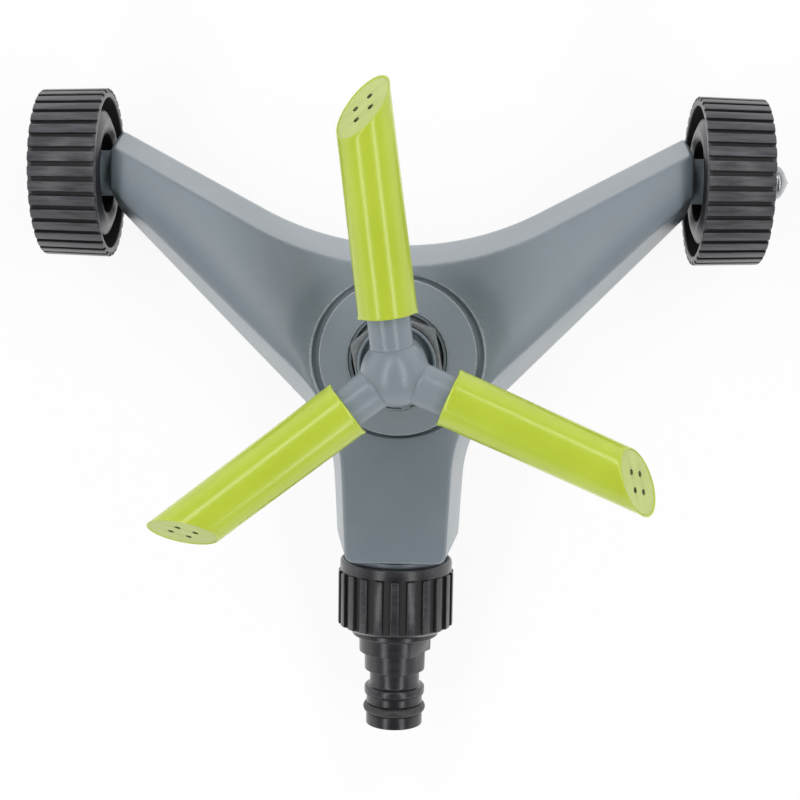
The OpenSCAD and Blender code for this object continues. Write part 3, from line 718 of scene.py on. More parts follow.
# Corner radii and arc steps, clockwise from the rear middle. Wide corners grow when the outline is
# drawn in, tight ones shrink.
RADII = ([REAR_SWEEP, LEG_CORNER_R, LEG_CORNER_R, CROTCH_R, FOOT_CORNER_R]
         + [FOOT_CORNER_R, CROTCH_R, LEG_CORNER_R, LEG_CORNER_R])
WIDE_R = 10.0
INNER_RADII = [r + WALL if r > WIDE_R else max(r - WALL, 0.3) for r in RADII]
PANEL_RADII = [r + SHOULDER if r > WIDE_R else 0.4 for r in RADII]
ARC_STEPS = [110, 10, 10, 36, 10, 10, 36, 10, 10]
TURN_STEP = math.radians(1.6)
LENGTH_STEP = 2.0


def edge_shares():
    """Shares along each straight edge, close together where the edge passes near the spindle."""
    shares = []
    n = len(RIDGE_CORNERS)
    t = np.linspace(0, 1, 400)
    for i in range(n):
        p, q = RIDGE_CORNERS[i], RIDGE_CORNERS[(i + 1) % n]
        line = p + (q - p) * t[:, None]
        turn = np.abs(np.diff(np.unwrap(np.arctan2(line[:, 1], line[:, 0]))))
        length = np.linalg.norm(np.diff(line, axis=0), axis=1)
        cost = np.concatenate([[0], np.cumsum(turn / TURN_STEP + length / LENGTH_STEP)])
        steps = max(3, int(cost[-1]))
        shares.append(np.interp(np.arange(1, steps) / steps * cost[-1], cost, t))
    return shares


def top_height(distance):
    """Height of the plain top at a distance from the spindle."""
    share = np.maximum(0, distance - HUB_R) / (END_REACH - HUB_R)
    return HUB_TOP - (HUB_TOP - LEG_TOP) * share**TOP_CURVE


def rim_height(points):
    """Height of the wall's lower rim, straight along the legs and curved down to the front foot."""
    distance = np.linalg.norm(points, axis=1)
    legs = HUB_RIM + (LEG_RIM - HUB_RIM) * np.clip((distance - HUB_R) / (END_REACH - HUB_R), 0, 1)
    fall = np.clip((-RIM_FALL_FROM - points[:, 1]) / RIM_FALL_RUN, 0, 1)
    front = HUB_RIM * (1 - np.sin(math.pi / 2 * fall))
    return np.where(points[:, 1] < -RIM_FALL_FROM, front, legs)


def line_distance(points, line):
    """Smallest distance of each point to a closed line."""
    a = line[None]
    step = np.roll(line, -1, axis=0)[None] - a
    rel = points[:, None] - a
    t = np.clip((rel * step).sum(-1) / np.maximum((step * step).sum(-1), 1e-9), 0, 1)
    return np.linalg.norm(rel - t[..., None] * step, axis=-1).min(1)


def gap_to(lines, points):
    """Smallest distance of each point to open lines."""
    there_and_back = [np.concatenate([line, line[::-1]]) for line in lines]
    return np.min([line_distance(points, line) for line in there_and_back], 0)


def lifted(points, height):
    return np.concatenate([points, np.broadcast_to(height, (len(points),))[:, None]], 1)


def bent(start, corner, end, t):
    """Point at t on the curve from start to end that leans towards a corner."""
    return start * (1 - t) ** 2 + corner * 2 * t * (1 - t) + end * t * t


SHARES = edge_shares()
RIM = base_outline(RIM_CORNERS, RADII, SHARES)
RIDGE = base_outline(RIDGE_CORNERS, RADII, SHARES)
RIM_INSIDE = base_outline(drawn_in(RIM_CORNERS, WALL), INNER_RADII, SHARES)
RIDGE_INSIDE = base_outline(drawn_in(RIDGE_CORNERS, WALL), INNER_RADII, SHARES)
RIDGE_FAR = np.linalg.norm(RIDGE, axis=1)
OUTWARD = RIDGE / RIDGE_FAR[:, None]
SIDEWAYS = np.abs(OUTWARD[:, 0])
MOAT_OUT = MOAT_R + (HUB_R - MOAT_R) * SIDEWAYS**MOAT_CURVE


def panel_outline():
    """Foot of the ridge's shoulder, which stops short of the moat where the ridge runs close to it."""
    inner = base_outline(drawn_in(RIDGE_CORNERS, SHOULDER), PANEL_RADII, SHARES)
    nearest = MOAT_OUT + SHOULDER_CLEAR * (RIDGE_FAR - MOAT_OUT)
    reach = np.ones(len(RIDGE))
    for t in np.linspace(1, 0, 81):
        too_near = np.linalg.norm(RIDGE + (inner - RIDGE) * reach[:, None], axis=1) < nearest
        reach[too_near] = t
    return RIDGE + (inner - RIDGE) * reach[:, None]


def ridge_lines():
    """The ridge's line behind both legs, and its line before each leg."""
    aside = np.abs(RIDGE[:, 0])
    between_ends = aside < RIDGE_END_X - 0.5
    in_front = RIDGE[:, 1] < AXLE_Y / LEG_END_X * aside
    rear = RIDGE[~in_front & between_ends]
    front = [RIDGE[in_front & between_ends & (side * RIDGE[:, 0] > 0)] for side in (1, -1)]
    return [rear[np.argsort(rear[:, 0])]], front


PANEL = panel_outline()
REAR_LINES, FRONT_LINES = ridge_lines()


def relief(points):
    """Height of the panels over the plain top, for a ring of points."""
    rear_gap, front_gap = gap_to(REAR_LINES, points), gap_to(FRONT_LINES, points)
    span = rear_gap + front_gap
    w = rear_gap / np.maximum(span, 0.1)
    arch = ARCH_RISE * w - ARCH_BEND * w**2 - ARCH_FALL * w**4
    front_leg = smooth_step((-points[:, 1] - FRONT_FADE_FROM) / FRONT_FADE_RUN)
    rise = np.minimum(span, ARCH_SPAN) * arch * (1 - front_leg)
    from_end = RIDGE_END_X - np.abs(points[:, 0])
    drop = END_DROP * np.clip(1 - from_end / END_RUN, 0, 1) ** 2
    hub_gap = np.maximum(0, np.linalg.norm(points, axis=1) - MOAT_OUT)
    return (rise - drop) * smooth_step(hub_gap / HUB_FADE_RUN)


def top_ring(points):
    return lifted(points, top_height(np.linalg.norm(points, axis=1)) + relief(points))


BEFORE_MOAT = OUTWARD * (MOAT_OUT + MOAT_ROUND)[:, None]
INNER_RIM = lifted(RIM_INSIDE, rim_height(RIM_INSIDE))


def wall_rings():
    """Rounded foot of the wall, the bowed wall and the rounded ridge, each ring with its wear."""
    rim_low = lifted(RIM, rim_height(RIM))
    ridge_top = top_ring(RIDGE)
    wall_length = np.linalg.norm(ridge_top - rim_low, axis=1)[:, None]
    foot_in = INNER_RIM * 0.25 + rim_low * 0.75
    foot_out = rim_low + (ridge_top - rim_low) * FOOT_ROUND / wall_length
    below = ridge_top + (rim_low - ridge_top) * RIDGE_ROUND / wall_length
    beside = top_ring(RIDGE + (PANEL - RIDGE) * RIDGE_ROUND / SHOULDER)
    for t in np.linspace(0, 1, 5):
        yield bent(foot_in, rim_low, foot_out, t), 0.5
    for s in np.linspace(0, 1, 10)[1:-1]:
        bow = lifted(OUTWARD, 0.0) * (np.sin(math.pi * s) * WALL_BOW)
        yield foot_out + (below - foot_out) * s + bow, 0.0
    for t in np.linspace(0, 1, 7):
        yield bent(below, ridge_top, beside, t), 0.35 - abs(t - 0.5) / 2


def panel_rings():
    """Valley and shoulder along the ridge, then the panels up to the moat, each ring with its wear and
    painted glints.
    """
    for t in np.linspace(RIDGE_ROUND / SHOULDER, 1, 12)[1:]:
        yield top_ring(RIDGE + (PANEL - RIDGE) * t), 0.0
    for s in np.linspace(0, 1, 26)[1:]:
        # Pale flecks near the moat, strongest at the sides: painted glints, and light scratches in the
        # grain
        rubbed = 0.35 * max(0, s - 0.8) / 0.2
        yield top_ring(PANEL + (BEFORE_MOAT - PANEL) * s), rubbed * SIDEWAYS


def moat_rings():
    """Rounded edge of the moat with a painted highlight, its wall and its floor, each ring with its wear.
    """
    band = MOAT_OUT - DISC_FOOT_R

    def at(share, z):
        return lifted(OUTWARD * (MOAT_OUT - share * band)[:, None], z)

    wall_top = at(0.1, HUB_TOP - MOAT_ROUND)
    # Painted highlight: the moat's rounded edge is marked pale, most at the sides
    for t in np.linspace(0, 1, 7)[1:]:
        yield bent(lifted(BEFORE_MOAT, HUB_TOP), at(0, HUB_TOP), wall_top, t), (RUBBED_AND_LIT - t**4) * SIDEWAYS
    for t in np.linspace(0, 1, 6)[1:]:
        yield bent(wall_top, at(0.4, MOAT_FLOOR), at(0.85, MOAT_FLOOR), t), 0.0


def disc_rings():
    """The disc, its well, the ledge in it and the riser's hole, each ring with its wear and painted
    highlight.
    """
    disc = rounded([(DISC_FOOT_R, MOAT_FLOOR), (DISC_OUT + 0.2, MOAT_FLOOR, 0.15),
                    (DISC_OUT, DISC_EDGE - 0.1, 0.2), (WELL_R + 0.5, WELL_LIP, 0.2),
                    (WELL_R, WELL_LIP, 0.15), (WELL_R - 0.1, LEDGE_Z, 0.12), (LEDGE_R, LEDGE_Z, 0.15),
                    (LEDGE_R - 0.1, WELL_FLOOR, 0.2), (RISER_HOLE, WELL_FLOOR),
                    (RISER_HOLE, DISC_UNDER), (HUB_UNDER_R, DISC_UNDER)], 4)
    for i, (r, z) in enumerate(disc):
        # Painted highlight lines along the well's lip and the disc's edge
        on_lip = z > WELL_LIP - 0.2 and r < WELL_R + 0.3
        on_edge = abs(z - DISC_EDGE) < 0.35 and r > DISC_R - 0.2
        yield lifted(OUTWARD * r, z), RUBBED_AND_LIT if on_lip or on_edge else 0.0
        # Wide stretches get rings of their own, so that their shading stays flat up to the edges
        if 0 < i < len(disc) - 1 and np.linalg.norm(disc[i + 1] - disc[i]) > 3:
            for s in (0.03, 0.34, 0.67, 0.97):
                between_r, between_z = disc[i] + (disc[i + 1] - disc[i]) * s
                yield lifted(OUTWARD * between_r, between_z), 0.0


def underside_rings():
    """Underside of the top and the inside of the wall, each ring with its wear."""
    under_hub = OUTWARD * HUB_UNDER_R
    for s in np.linspace(0, 1, 5):
        ring = RIDGE_INSIDE + (under_hub - RIDGE_INSIDE) * (1 - s)
        yield lifted(ring, top_height(np.linalg.norm(ring, axis=1)) - WALL), 0.0
    wall_inside = top_ring(RIDGE_INSIDE) - [0, 0, WALL]
    for s in np.linspace(0, 1, 5)[1:]:
        yield wall_inside + (INNER_RIM - wall_inside) * s, 0.0


def axle_boss(skin, side):
    """Stepped boss through a leg's end wall, with the axle's bore."""
    inside, step = LEG_END_X - BOSS_DEEP, LEG_END_X - BOSS_STEP
    bore = AXLE_R + 0.05
    boss = rounded([(inside, bore), (inside, BOSS_ROOT_R), (step, BOSS_ROOT_R), (step, BOSS_R),
                    (BOSS_OUT, BOSS_R, 0.4), (BOSS_OUT, bore, 0.2), (inside, bore)], 4)
    skin.turned(round_axle(side), boss, 64)


def leg_rib(skin, side):
    """Upright rib under a leg, from the hub to short of the leg's end."""
    direction = unit(np.array([LEG_END_X, AXLE_Y - 1]))
    across = np.array([-direction[1], direction[0]]) * WALL / 3
    start, end = HUB_R, END_REACH - LEG_RIB_SHORT
    rows = []
    for d in np.linspace(start, end, 8):
        foot = LEG_RIB_HUB_FOOT + (LEG_RIB_END_FOOT - LEG_RIB_HUB_FOOT) * (d - start) / (end - start)
        top = top_height(d) - WALL / 2
        left, right = direction * d + across, direction * d - across
        corners = [(left, foot), (left, top), (right, top), (right, foot)]
        rows.append([(side * p[0], p[1], z) for p, z in corners])
    skin.grid(rows)
    skin.polygons(rows[0] + rows[-1], [[0, 1, 2, 3], [7, 6, 5, 4]])


def bulkhead(skin):
    """Plate behind the front wall, round the inlet pipe, narrower where the side walls draw in."""
    front, back = BULKHEAD_BEHIND - FRONT_REACH, SOLE - FRONT_REACH
    levels = (BULKHEAD_HALF, BULKHEAD_LIFT), (BULKHEAD_HALF - SIDE_DRAW, INLET_Z + BULKHEAD_OVER)
    corners = [(side * x, y, z) for x, z in levels for y in (front, back) for side in (-1, 1)]
    sides = [[0, 1, 3, 2], [4, 6, 7, 5], [0, 4, 5, 1], [2, 3, 7, 6], [0, 2, 6, 4], [1, 5, 7, 3]]
    skin.polygons(corners, sides)


def base_moulding():
    """The base as one closed skin with its axle bosses, leg ribs and bulkhead."""
    rings = []
    marks = []
    for section in (wall_rings(), panel_rings(), moat_rings(), disc_rings(), underside_rings()):
        for ring, wear_and_painted_light in section:
            rings.append(ring)
            marks.append(np.full(len(ring), wear_and_painted_light))
    skin = Skin().grid(rings, closed=True, wear_and_painted_light=np.array(marks))
    for side in (1, -1):
        axle_boss(skin, side)
        leg_rib(skin, side)
    bulkhead(skin)
    make_piece("base_moulding", skin, "base", BASE_GREY, ["base_shell"], 38)


def gland_nut():
    """Hexagonal gland nut with a round flange, chamfered corners and a stepped bore for the stem."""
    steps = 144
    angle = 2 * math.pi * np.arange(steps) / steps
    flat = GLAND_AF / 2
    from_flat = (angle - math.radians(GLAND_TURN) + math.pi / 6) % (math.pi / 3) - math.pi / 6
    hexagon = flat / np.cos(from_flat)
    low, high = GLAND_LOW[2], GLAND_HIGH[2]
    land = flat * GLAND_LAND
    chamfer = math.tan(math.radians(30))

    def ring(radius, z):
        level = np.broadcast_to(z, angle.shape)
        return np.stack([radius * np.cos(angle), radius * np.sin(angle), level], -1)

    bore = STEM_R + STEM_PLAY
    edge_z = high - (hexagon - land) * chamfer
    flange_top = low + GLAND_FLANGE_T
    rings = [ring(bore, low), ring(GLAND_FLANGE_R - GLAND_EDGE, low),
             ring(GLAND_FLANGE_R, low + GLAND_EDGE), ring(GLAND_FLANGE_R, flange_top - GLAND_EDGE),
             ring(GLAND_FLANGE_R - 0.3, flange_top),
             ring(np.minimum(hexagon, GLAND_FLANGE_R - 0.35), flange_top),
             ring(np.minimum(hexagon, GLAND_FLANGE_R), LEDGE_Z), ring(hexagon, LEDGE_Z + 0.15),
             ring(hexagon, edge_z - 0.12), ring(hexagon - 0.14, edge_z + 0.02)]
    rings += [ring(land + (hexagon - land) * s, high - (hexagon - land) * s * chamfer) for s in (0.6, 0.3)]
    cup_floor = high - GLAND_CUP_DEEP
    top = rounded([(land, high), (GLAND_CUP_R, high, 0.15), (GLAND_CUP_R - 0.45, cup_floor, 0.12),
                   (bore + 1.0, cup_floor, 0.1), (bore, cup_floor - 0.8, 0.3), (bore, low)], 3)
    rings += [ring(r, z) for r, z in top]
    skin = Skin().grid(rings, closed=True, wear_and_painted_light=0.3)
    make_piece("gland_nut_hex", skin, "base", GLAND_GREY, ["gland_nut"], 24)


def arm_stub():
    """Profile of a stub with the seam at its root, its seal groove and its bore."""
    seam = math.sqrt(BALL_R**2 - STUB_R**2)
    groove_end, bore_end = STUB_GROOVE + STUB_GROOVE_W, STUB_LEN - STUB_DEEP
    return rounded([(1.0, 0.0), (1.0, STUB_R - 1), (seam - 0.3, STUB_R - 0.02, 0.1),
                    (seam + 0.15, STUB_R + 0.16, 0.1), (seam + 0.55, STUB_R, 0.1),
                    (STUB_GROOVE, STUB_R, 0.1), (STUB_GROOVE, STUB_GROOVE_R, 0.1),
                    (groove_end, STUB_GROOVE_R, 0.1), (groove_end, STUB_R, 0.1),
                    (STUB_LEN, STUB_R, 0.3), (STUB_LEN, STUB_BORE, 0.2), (bore_end, STUB_BORE),
                    (bore_end, 0)], 4)


def rotor_hub():
    """Cupped skirt, neck, ball and three stubs of the rotor."""
    bore = STEM_R + 0.05
    cup_top, cup_floor = SKIRT_Z + SKIRT_DEEP + SKIRT_EDGE, SKIRT_Z + SKIRT_EDGE
    bell = rounded([(SKIRT_Z, bore), (SKIRT_Z, SKIRT_R - 0.3, 0.35), (cup_top, SKIRT_R, 0.3),
                    (cup_top, SKIRT_R - 0.8, 0.25), (cup_floor, SKIRT_R - 1.1, 0.5),
                    (cup_floor, NECK_OUT + 0.4, 0.6), (NECK_TOP, NECK_OUT, 0.1),
                    (NECK_TOP, bore, 0.1), (SKIRT_Z, bore)], 5)
    skin = Skin().turned(round_spindle, bell, 128)
    lat = np.linspace(-math.pi / 2, math.pi / 2, 65)
    ball = np.stack([BALL_Z + BALL_R * np.sin(lat), BALL_R * np.cos(lat)], 1)
    skin.turned(round_spindle, ball, 128)
    for turn in ARM_TURNS.values():
        skin.turned(round_arm(turn), arm_stub(), 72)
    make_piece("rotor_hub_ball", skin, "rotor", ROTOR_GREY, ["rotor_hub"], 30)


def mouth_offset(angle, radius):
    """How far the oblique mouth stands before or behind the tube's reach, round the tube."""
    return -(radius * np.cos(angle) * FACE_LOOK[1] + radius * np.sin(angle) * FACE_LOOK[2]) / FACE_LOOK[0]


def arm_tube(which):
    """Tapered tube with an oblique mouth, a thin lip round the plate's seat and flash at its root."""
    steps = 128
    place = round_arm(ARM_TURNS[which])
    angle = 2 * math.pi * np.arange(steps) / steps
    taper = (TUBE_TIP_R - TUBE_R) / (TUBE_REACH - TUBE_START)
    flash = FLASH_HIGH * sum(np.exp(-(((angle - at) / width) ** 2)) for at, width in FLASH_TAGS)
    rings = []

    def ring(along, radius):
        along = np.broadcast_to(along, angle.shape)
        radius = np.broadcast_to(radius, angle.shape)
        rings.append(np.stack(place(along, angle, radius), -1))

    def mouth(radius, depth=0.0):
        return TUBE_REACH + mouth_offset(angle, radius) - depth

    ring(TUBE_REACH - TUBE_SOCKET, STUB_R + TUBE_PLAY)
    ring(TUBE_START + 0.25, STUB_R + TUBE_PLAY)
    ring(TUBE_START, STUB_R + 0.25)
    ring(TUBE_START - flash * 1.5, TUBE_R - 0.35)
    ring(TUBE_START + 0.06 - flash, TUBE_R - 0.1 + flash)
    ring(TUBE_START + 0.3, TUBE_R + flash * 0.6)
    for s in np.linspace(0.02, 0.985, 30):
        along = TUBE_START + (mouth(TUBE_TIP_R) - TUBE_START) * s
        ring(along, TUBE_R + taper * (along - TUBE_START))
    ring(mouth(TUBE_TIP_R, TUBE_LIP), TUBE_TIP_R)
    ring(mouth(TUBE_TIP_R - TUBE_LIP), TUBE_TIP_R - TUBE_LIP)
    seat_r = PLATE_R + PLATE_PLAY
    back = PLATE_SUNK + PLATE_T
    ring(mouth(seat_r + 0.02, 0.15), seat_r + 0.02)
    ring(mouth(seat_r, PLATE_SUNK * FACE_RUN), seat_r)
    ring(mouth(seat_r, back * FACE_RUN), seat_r)
    ring(mouth(STUB_R, (back + 0.1) * FACE_RUN), STUB_R + TUBE_PLAY)
    skin = Skin().grid(rings, closed=True)
    name = "arm_tube_" + which
    make_piece(name + "_lime", skin, "rotor", LIME, [name], 34)


def nozzle_plate(which):
    """Oblique plate with four countersunk jet holes."""
    matrix = np.array(arm_matrix(ARM_TURNS[which]))
    across = unit(np.cross(unit(FACE_LOOK), [0, 0, 1]))
    upward = np.cross(unit(FACE_LOOK), across)

    def on_face(y, z, depth):
        x = TUBE_REACH - (y * FACE_LOOK[1] + z * FACE_LOOK[2]) / FACE_LOOK[0] - depth * FACE_RUN
        return np.stack([x, y, z], -1)

    def in_part(points):
        return points @ matrix[:3, :3].T + matrix[:3, 3]

    def rim(share, depth):
        turn = 2 * math.pi * np.arange(96) / 96
        return on_face(PLATE_R * np.cos(turn) * share, PLATE_R * np.sin(turn) * share, depth)

    def hole(centre, radius, depth):
        turn = 2 * math.pi * np.arange(24) / 24
        middle = on_face(np.array(centre[0]), np.array(centre[1]), depth)
        return middle + radius * (np.cos(turn)[:, None] * across + np.sin(turn)[:, None] * upward)

    front, back = PLATE_SUNK, PLATE_SUNK + PLATE_T
    edge_share = 0.99
    centres = [(v * JET_GAP / 2, w * JET_GAP / 2) for v in (-1, 1) for w in (-1, 1)]
    skin = Skin()
    for depth, flare in ((front, JET_FLARE), (back, 0.0)):
        loops = [rim(edge_share, depth)] + [hole(c, JET_R + flare, depth) for c in centres]
        plane = [[Vector((p @ across, p @ upward, 0)) for p in loop] for loop in loops]
        skin.polygons(in_part(np.concatenate(loops)), [list(t) for t in tessellate_polygon(plane)])
    edge = [rim(edge_share, front), rim(1.0, front + PLATE_EDGE),
            rim(1.0, back - PLATE_EDGE), rim(edge_share, back)]
    skin.grid([in_part(r) for r in edge])
    for c in centres:
        wall = [hole(c, JET_R + JET_FLARE, front), hole(c, JET_R, front + JET_FLARE), hole(c, JET_R, back)]
        # Painted shade down the walls of the jet holes
        skin.grid([in_part(r) for r in wall], wear_and_painted_light=np.array([[0.15], [1.0], [1.0]]))
    name = "nozzle_plate_" + which
    make_piece(name + "_pale", skin, "rotor", PALE_LIME, [name], 30)


def rib_ring_tree():
    """Geometry Nodes: repeats a rib round an axis, with the number of ribs and the axis as inputs."""
    tree = bpy.data.node_groups.new("ribs_round_an_axis", "GeometryNodeTree")
    face = tree.interface
    face.new_socket("Rib", in_out="INPUT", socket_type="NodeSocketGeometry")
    face.new_socket("Number of ribs", in_out="INPUT", socket_type="NodeSocketInt")
    face.new_socket("Axis", in_out="INPUT", socket_type="NodeSocketVector")
    face.new_socket("Finish", in_out="INPUT", socket_type="NodeSocketMaterial")
    face.new_socket("Ribs", in_out="OUTPUT", socket_type="NodeSocketGeometry")
    add = tree.nodes.new
    link = tree.links.new
    group_in, group_out = add("NodeGroupInput"), add("NodeGroupOutput")
    line = add("GeometryNodeMeshLine")
    line.inputs["Offset"].default_value = (0, 0, 0)
    index = add("GeometryNodeInputIndex")
    step = add("ShaderNodeMath")
    step.operation = "DIVIDE"
    step.inputs[0].default_value = 2 * math.pi
    angle = add("ShaderNodeMath")
    angle.operation = "MULTIPLY"
    turn = add("FunctionNodeAxisAngleToRotation")
    instances = add("GeometryNodeInstanceOnPoints")
    realize = add("GeometryNodeRealizeInstances")
    paint = add("GeometryNodeSetMaterial")
    link(group_in.outputs["Number of ribs"], line.inputs["Count"])
    link(group_in.outputs["Number of ribs"], step.inputs[1])
    link(index.outputs[0], angle.inputs[0])
    link(step.outputs[0], angle.inputs[1])
    link(group_in.outputs["Axis"], turn.inputs["Axis"])
    link(angle.outputs[0], turn.inputs["Angle"])
    link(line.outputs["Mesh"], instances.inputs["Points"])
    link(group_in.outputs["Rib"], instances.inputs["Instance"])
    link(turn.outputs[0], instances.inputs["Rotation"])
    link(instances.outputs[0], realize.inputs[0])
    link(realize.outputs[0], paint.inputs["Geometry"])
    link(group_in.outputs["Finish"], paint.inputs["Material"])
    link(paint.outputs[0], group_out.inputs["Ribs"])
    return tree


RIB_TREE = rib_ring_tree()


def socket_id(tree, name):
    return next(i.identifier for i in tree.interface.items_tree if i.name == name)


# Rib ends: distance from the end, how far the crest sinks there and the share that the flanks lose
RIB_ENDS = (0, 0.45, 0.25), (0.12, 0.18, 0.1), (0.35, 0.0, 0.0)
RIB_ROOT = 0.4
RIB_ROUND = 0.28
RIB_SHARP = 50


def rib_mesh(name, length, width, floor_r, crest_r, axis, draft=0.0):
    """One rib with rounded crests and ends, drawn above the origin and along an axis, in metres."""
    half = width / 2
    root = floor_r - RIB_ROOT
    section = rounded([(-half, root), (-half, crest_r, RIB_ROUND), (half, crest_r, RIB_ROUND),
                       (half, root)], 4)
    end = [(length / 2 - inset, sink, narrow) for inset, sink, narrow in RIB_ENDS]
    start = [(-s, sink, narrow) for s, sink, narrow in end]
    rows = []
    for s, sink, narrow in start + [(0, 0.0, 0.0)] + end[::-1]:
        along = np.full(len(section), s)
        across = section[:, 0] * (1 - narrow)
        up = np.maximum(section[:, 1] - np.where(section[:, 1] > floor_r, sink, 0), root)
        up = up - abs(draft) / 2 - draft * s / length
        rows.append(np.stack([along, across, up] if axis == "X" else [across, along, up], -1))
    # Rubbed crests, and painted shade on the flanks and roots between the ribs
    skin = Skin().grid(rows, around=False, wear_and_painted_light=np.where(section[:, 1] > crest_r - 0.15, 0.65, -0.8))
    n = len(section)
    skin.polygons(np.concatenate([rows[0], rows[-1]]), [list(range(n)), list(range(2 * n - 1, n - 1, -1))])
    mesh = skin.mesh(name)
    finish_mesh(mesh, RIB_SHARP)
    return mesh


def ribs(name, rib, number, axis, centre, body, finish):
    """Ribs round an axis through a centre, made by the tree and then kept as a plain mesh."""
    obj = new_object(name, rib)
    modifier = obj.modifiers.new("ribs", "NODES")
    modifier.node_group = RIB_TREE
    modifier[socket_id(RIB_TREE, "Number of ribs")] = number
    modifier[socket_id(RIB_TREE, "Axis")] = axis
    modifier[socket_id(RIB_TREE, "Finish")] = finish
    bpy.context.view_layer.update()
    evaluated = obj.evaluated_get(bpy.context.evaluated_depsgraph_get())
    plain = bpy.data.meshes.new_from_object(evaluated)
    obj.modifiers.clear()
    obj.data = plain
    plain.transform(Matrix.Translation(Vector(centre) * MM + Vector((0, SPINDLE_Y * MM, 0))))
    plain.set_sharp_from_angle(angle=math.radians(RIB_SHARP))
    dress(obj, body)


def profile_edge(profile):
    """True where a profile turns, so that its corners can look rubbed."""
    before = profile - np.roll(profile, 1, axis=0)
    after = np.roll(profile, -1, axis=0) - profile
    turn = np.abs(before[:, 0] * after[:, 1] - before[:, 1] * after[:, 0])
    size = np.linalg.norm(before, axis=1) * np.linalg.norm(after, axis=1)
    return turn > 0.15 * np.maximum(size, 1e-9)


def wheel_profile():
    """Inner face with ring groove, dished drum, cup and hub, then the hollow outer side and the tread."""
    bore = AXLE_R + AXLE_PLAY
    inner = rounded([(WHEEL_W, TREAD_FLOOR), (0.0, TREAD_FLOOR, 0.5), (0.0, RIM_IN, 0.35), (0.6, RIM_IN),
                     (CUP_DEEP, RIM_IN, 0.4), (CUP_DEEP, DRUM_R, 0.4), (DRUM_SUNK * 2, DRUM_R),
                     (DRUM_SUNK, DRUM_R, 1.1), (CREST_SUNK, CREST_R, 2.5), (CUP_SUNK, CUP_R, 0.7),
                     (CUP_SUNK + 0.8, CUP_R), (CUP_DEEP, CUP_R, 0.4), (CUP_DEEP, WHEEL_HUB_R, 0.4),
                     (WHEEL_HUB_SUNK, WHEEL_HUB_R, 0.3), (WHEEL_HUB_SUNK, bore)], 6)[1:]
    web = CUP_DEEP + WHEEL_WALL
    cup_r, drum_r = CUP_R + WHEEL_WALL, DRUM_R - WHEEL_WALL
    outer = rounded([(WHEEL_BACK, bore), (WHEEL_BACK, WHEEL_HUB_R, 0.3), (web, WHEEL_HUB_R, 0.5),
                     (web, cup_r, 0.5), (DRUM_BACK, cup_r, 0.4), (DRUM_BACK, drum_r, 0.4),
                     (web, drum_r, 0.5), (web, RIM_IN, 0.6), (WHEEL_W, RIM_IN, 0.35),
                     (WHEEL_W, TREAD_FLOOR, 0.5), (WHEEL_W - TREAD_EDGE, TREAD_FLOOR),
                     (TREAD_EDGE, TREAD_FLOOR)], 5)
    profile = np.concatenate([inner, outer, inner[:1]])
    profile[:, 1] -= np.where(profile[:, 1] > RIM_IN + 0.5, WHEEL_DRAFT * profile[:, 0] / WHEEL_W, 0)
    return profile


def wheel_wear_and_shade(profile):
    """Rubbed inner rim and corners, painted shade on the tread floor, and painted shade in the groove and
    the cup.
    """
    along, radius = profile.T
    wear_and_painted_light = np.where(profile_edge(profile), 0.5, 0.0)
    # Painted shade on the tread floor between the ribs
    wear_and_painted_light[(along > 0.8) & (along < WHEEL_W - 0.8) & (radius > RIM_IN + 0.5)] = -0.6
    wear_and_painted_light[(along < 0.1) & (radius > RIM_IN)] = RUBBED_AND_LIT
    in_groove = (radius > DRUM_R - 0.1) & (radius < RIM_IN + 0.1)
    in_cup = radius < CUP_R + 0.3
    # Painted shade in the ring groove and the cup
    wear_and_painted_light[(along > 0.5) & (along < CUP_DEEP + 0.1) & (in_groove | in_cup)] = HOLLOW_SHADE
    return wear_and_painted_light


def spoke(skin, side, number):
    """One spoke in the wheel's hollow outer side."""
    a = 2 * math.pi * number / SPOKES + math.pi / 6
    low, high = WHEEL_X + CUP_DEEP + 1, WHEEL_X + WHEEL_BACK - 0.5
    section = rounded([(low, -SPOKE_HALF), (high, -SPOKE_HALF, 0.5), (high, SPOKE_HALF, 0.5),
                       (low, SPOKE_HALF)], 4)
    rows = []
    for r in np.linspace(WHEEL_HUB_R - 0.5, RIM_IN + 0.3, 6):
        y = AXLE_Y + r * math.cos(a) - section[:, 1] * math.sin(a)
        z = AXLE_Z + r * math.sin(a) + section[:, 1] * math.cos(a)
        rows.append(np.stack([side * section[:, 0], y, z], -1))
    skin.grid(rows)


def wheel(side, body):
    """Moulded wheel with its spokes, and its tread ribs."""
    profile = wheel_profile()
    wear_and_painted_light = wheel_wear_and_shade(profile)
    skin = Skin().turned(round_axle(side), profile + [WHEEL_X, 0], 144, wear_and_painted_light=wear_and_painted_light[:, None])
    for number in range(SPOKES):
        spoke(skin, side, number)
    make_piece(body + "_moulding", skin, body, WHEEL_BLACK, [body], 34)
    rib = rib_mesh(body + "_rib", WHEEL_W, TREAD_RIB_W, TREAD_FLOOR, WHEEL_R, "X", side * WHEEL_DRAFT)
    centre = (side * (WHEEL_X + WHEEL_W / 2), AXLE_Y, AXLE_Z)
    ribs(body + "_tread_ribs", rib, TREAD_RIBS, (1.0, 0.0, 0.0), centre, body, WHEEL_BLACK)


def axle_cap():
    """Pointed push-on cap on the right axle."""
    start, tip = CAP_LOW[0], CAP_HIGH[0]
    r = (CAP_HIGH[2] - CAP_LOW[2]) / 2
    bore, neck = AXLE_R + 0.03, tip - CAP_POINT
    floor_at = start + CAP_SOCKET
    bulge = [(neck + CAP_POINT * t, r * (1 - t) + CAP_BULGE * math.sin(math.pi * t) * (1 - t * 0.4))
             for t in np.linspace(0.05, 0.96, 12)]
    profile = [(floor_at, 0), (floor_at, bore), (start, bore), (start, r - 0.3), (start + 0.3, r),
               (neck - 0.3, r), (neck, r - 0.02)] + bulge + [(tip - 0.03, 0.16), (tip, 0)]
    skin = Skin().turned(round_axle(1), profile, 64)
    make_piece("right_axle_cap_bright", skin, "base", BRIGHT, ["right_axle_cap"], 40)


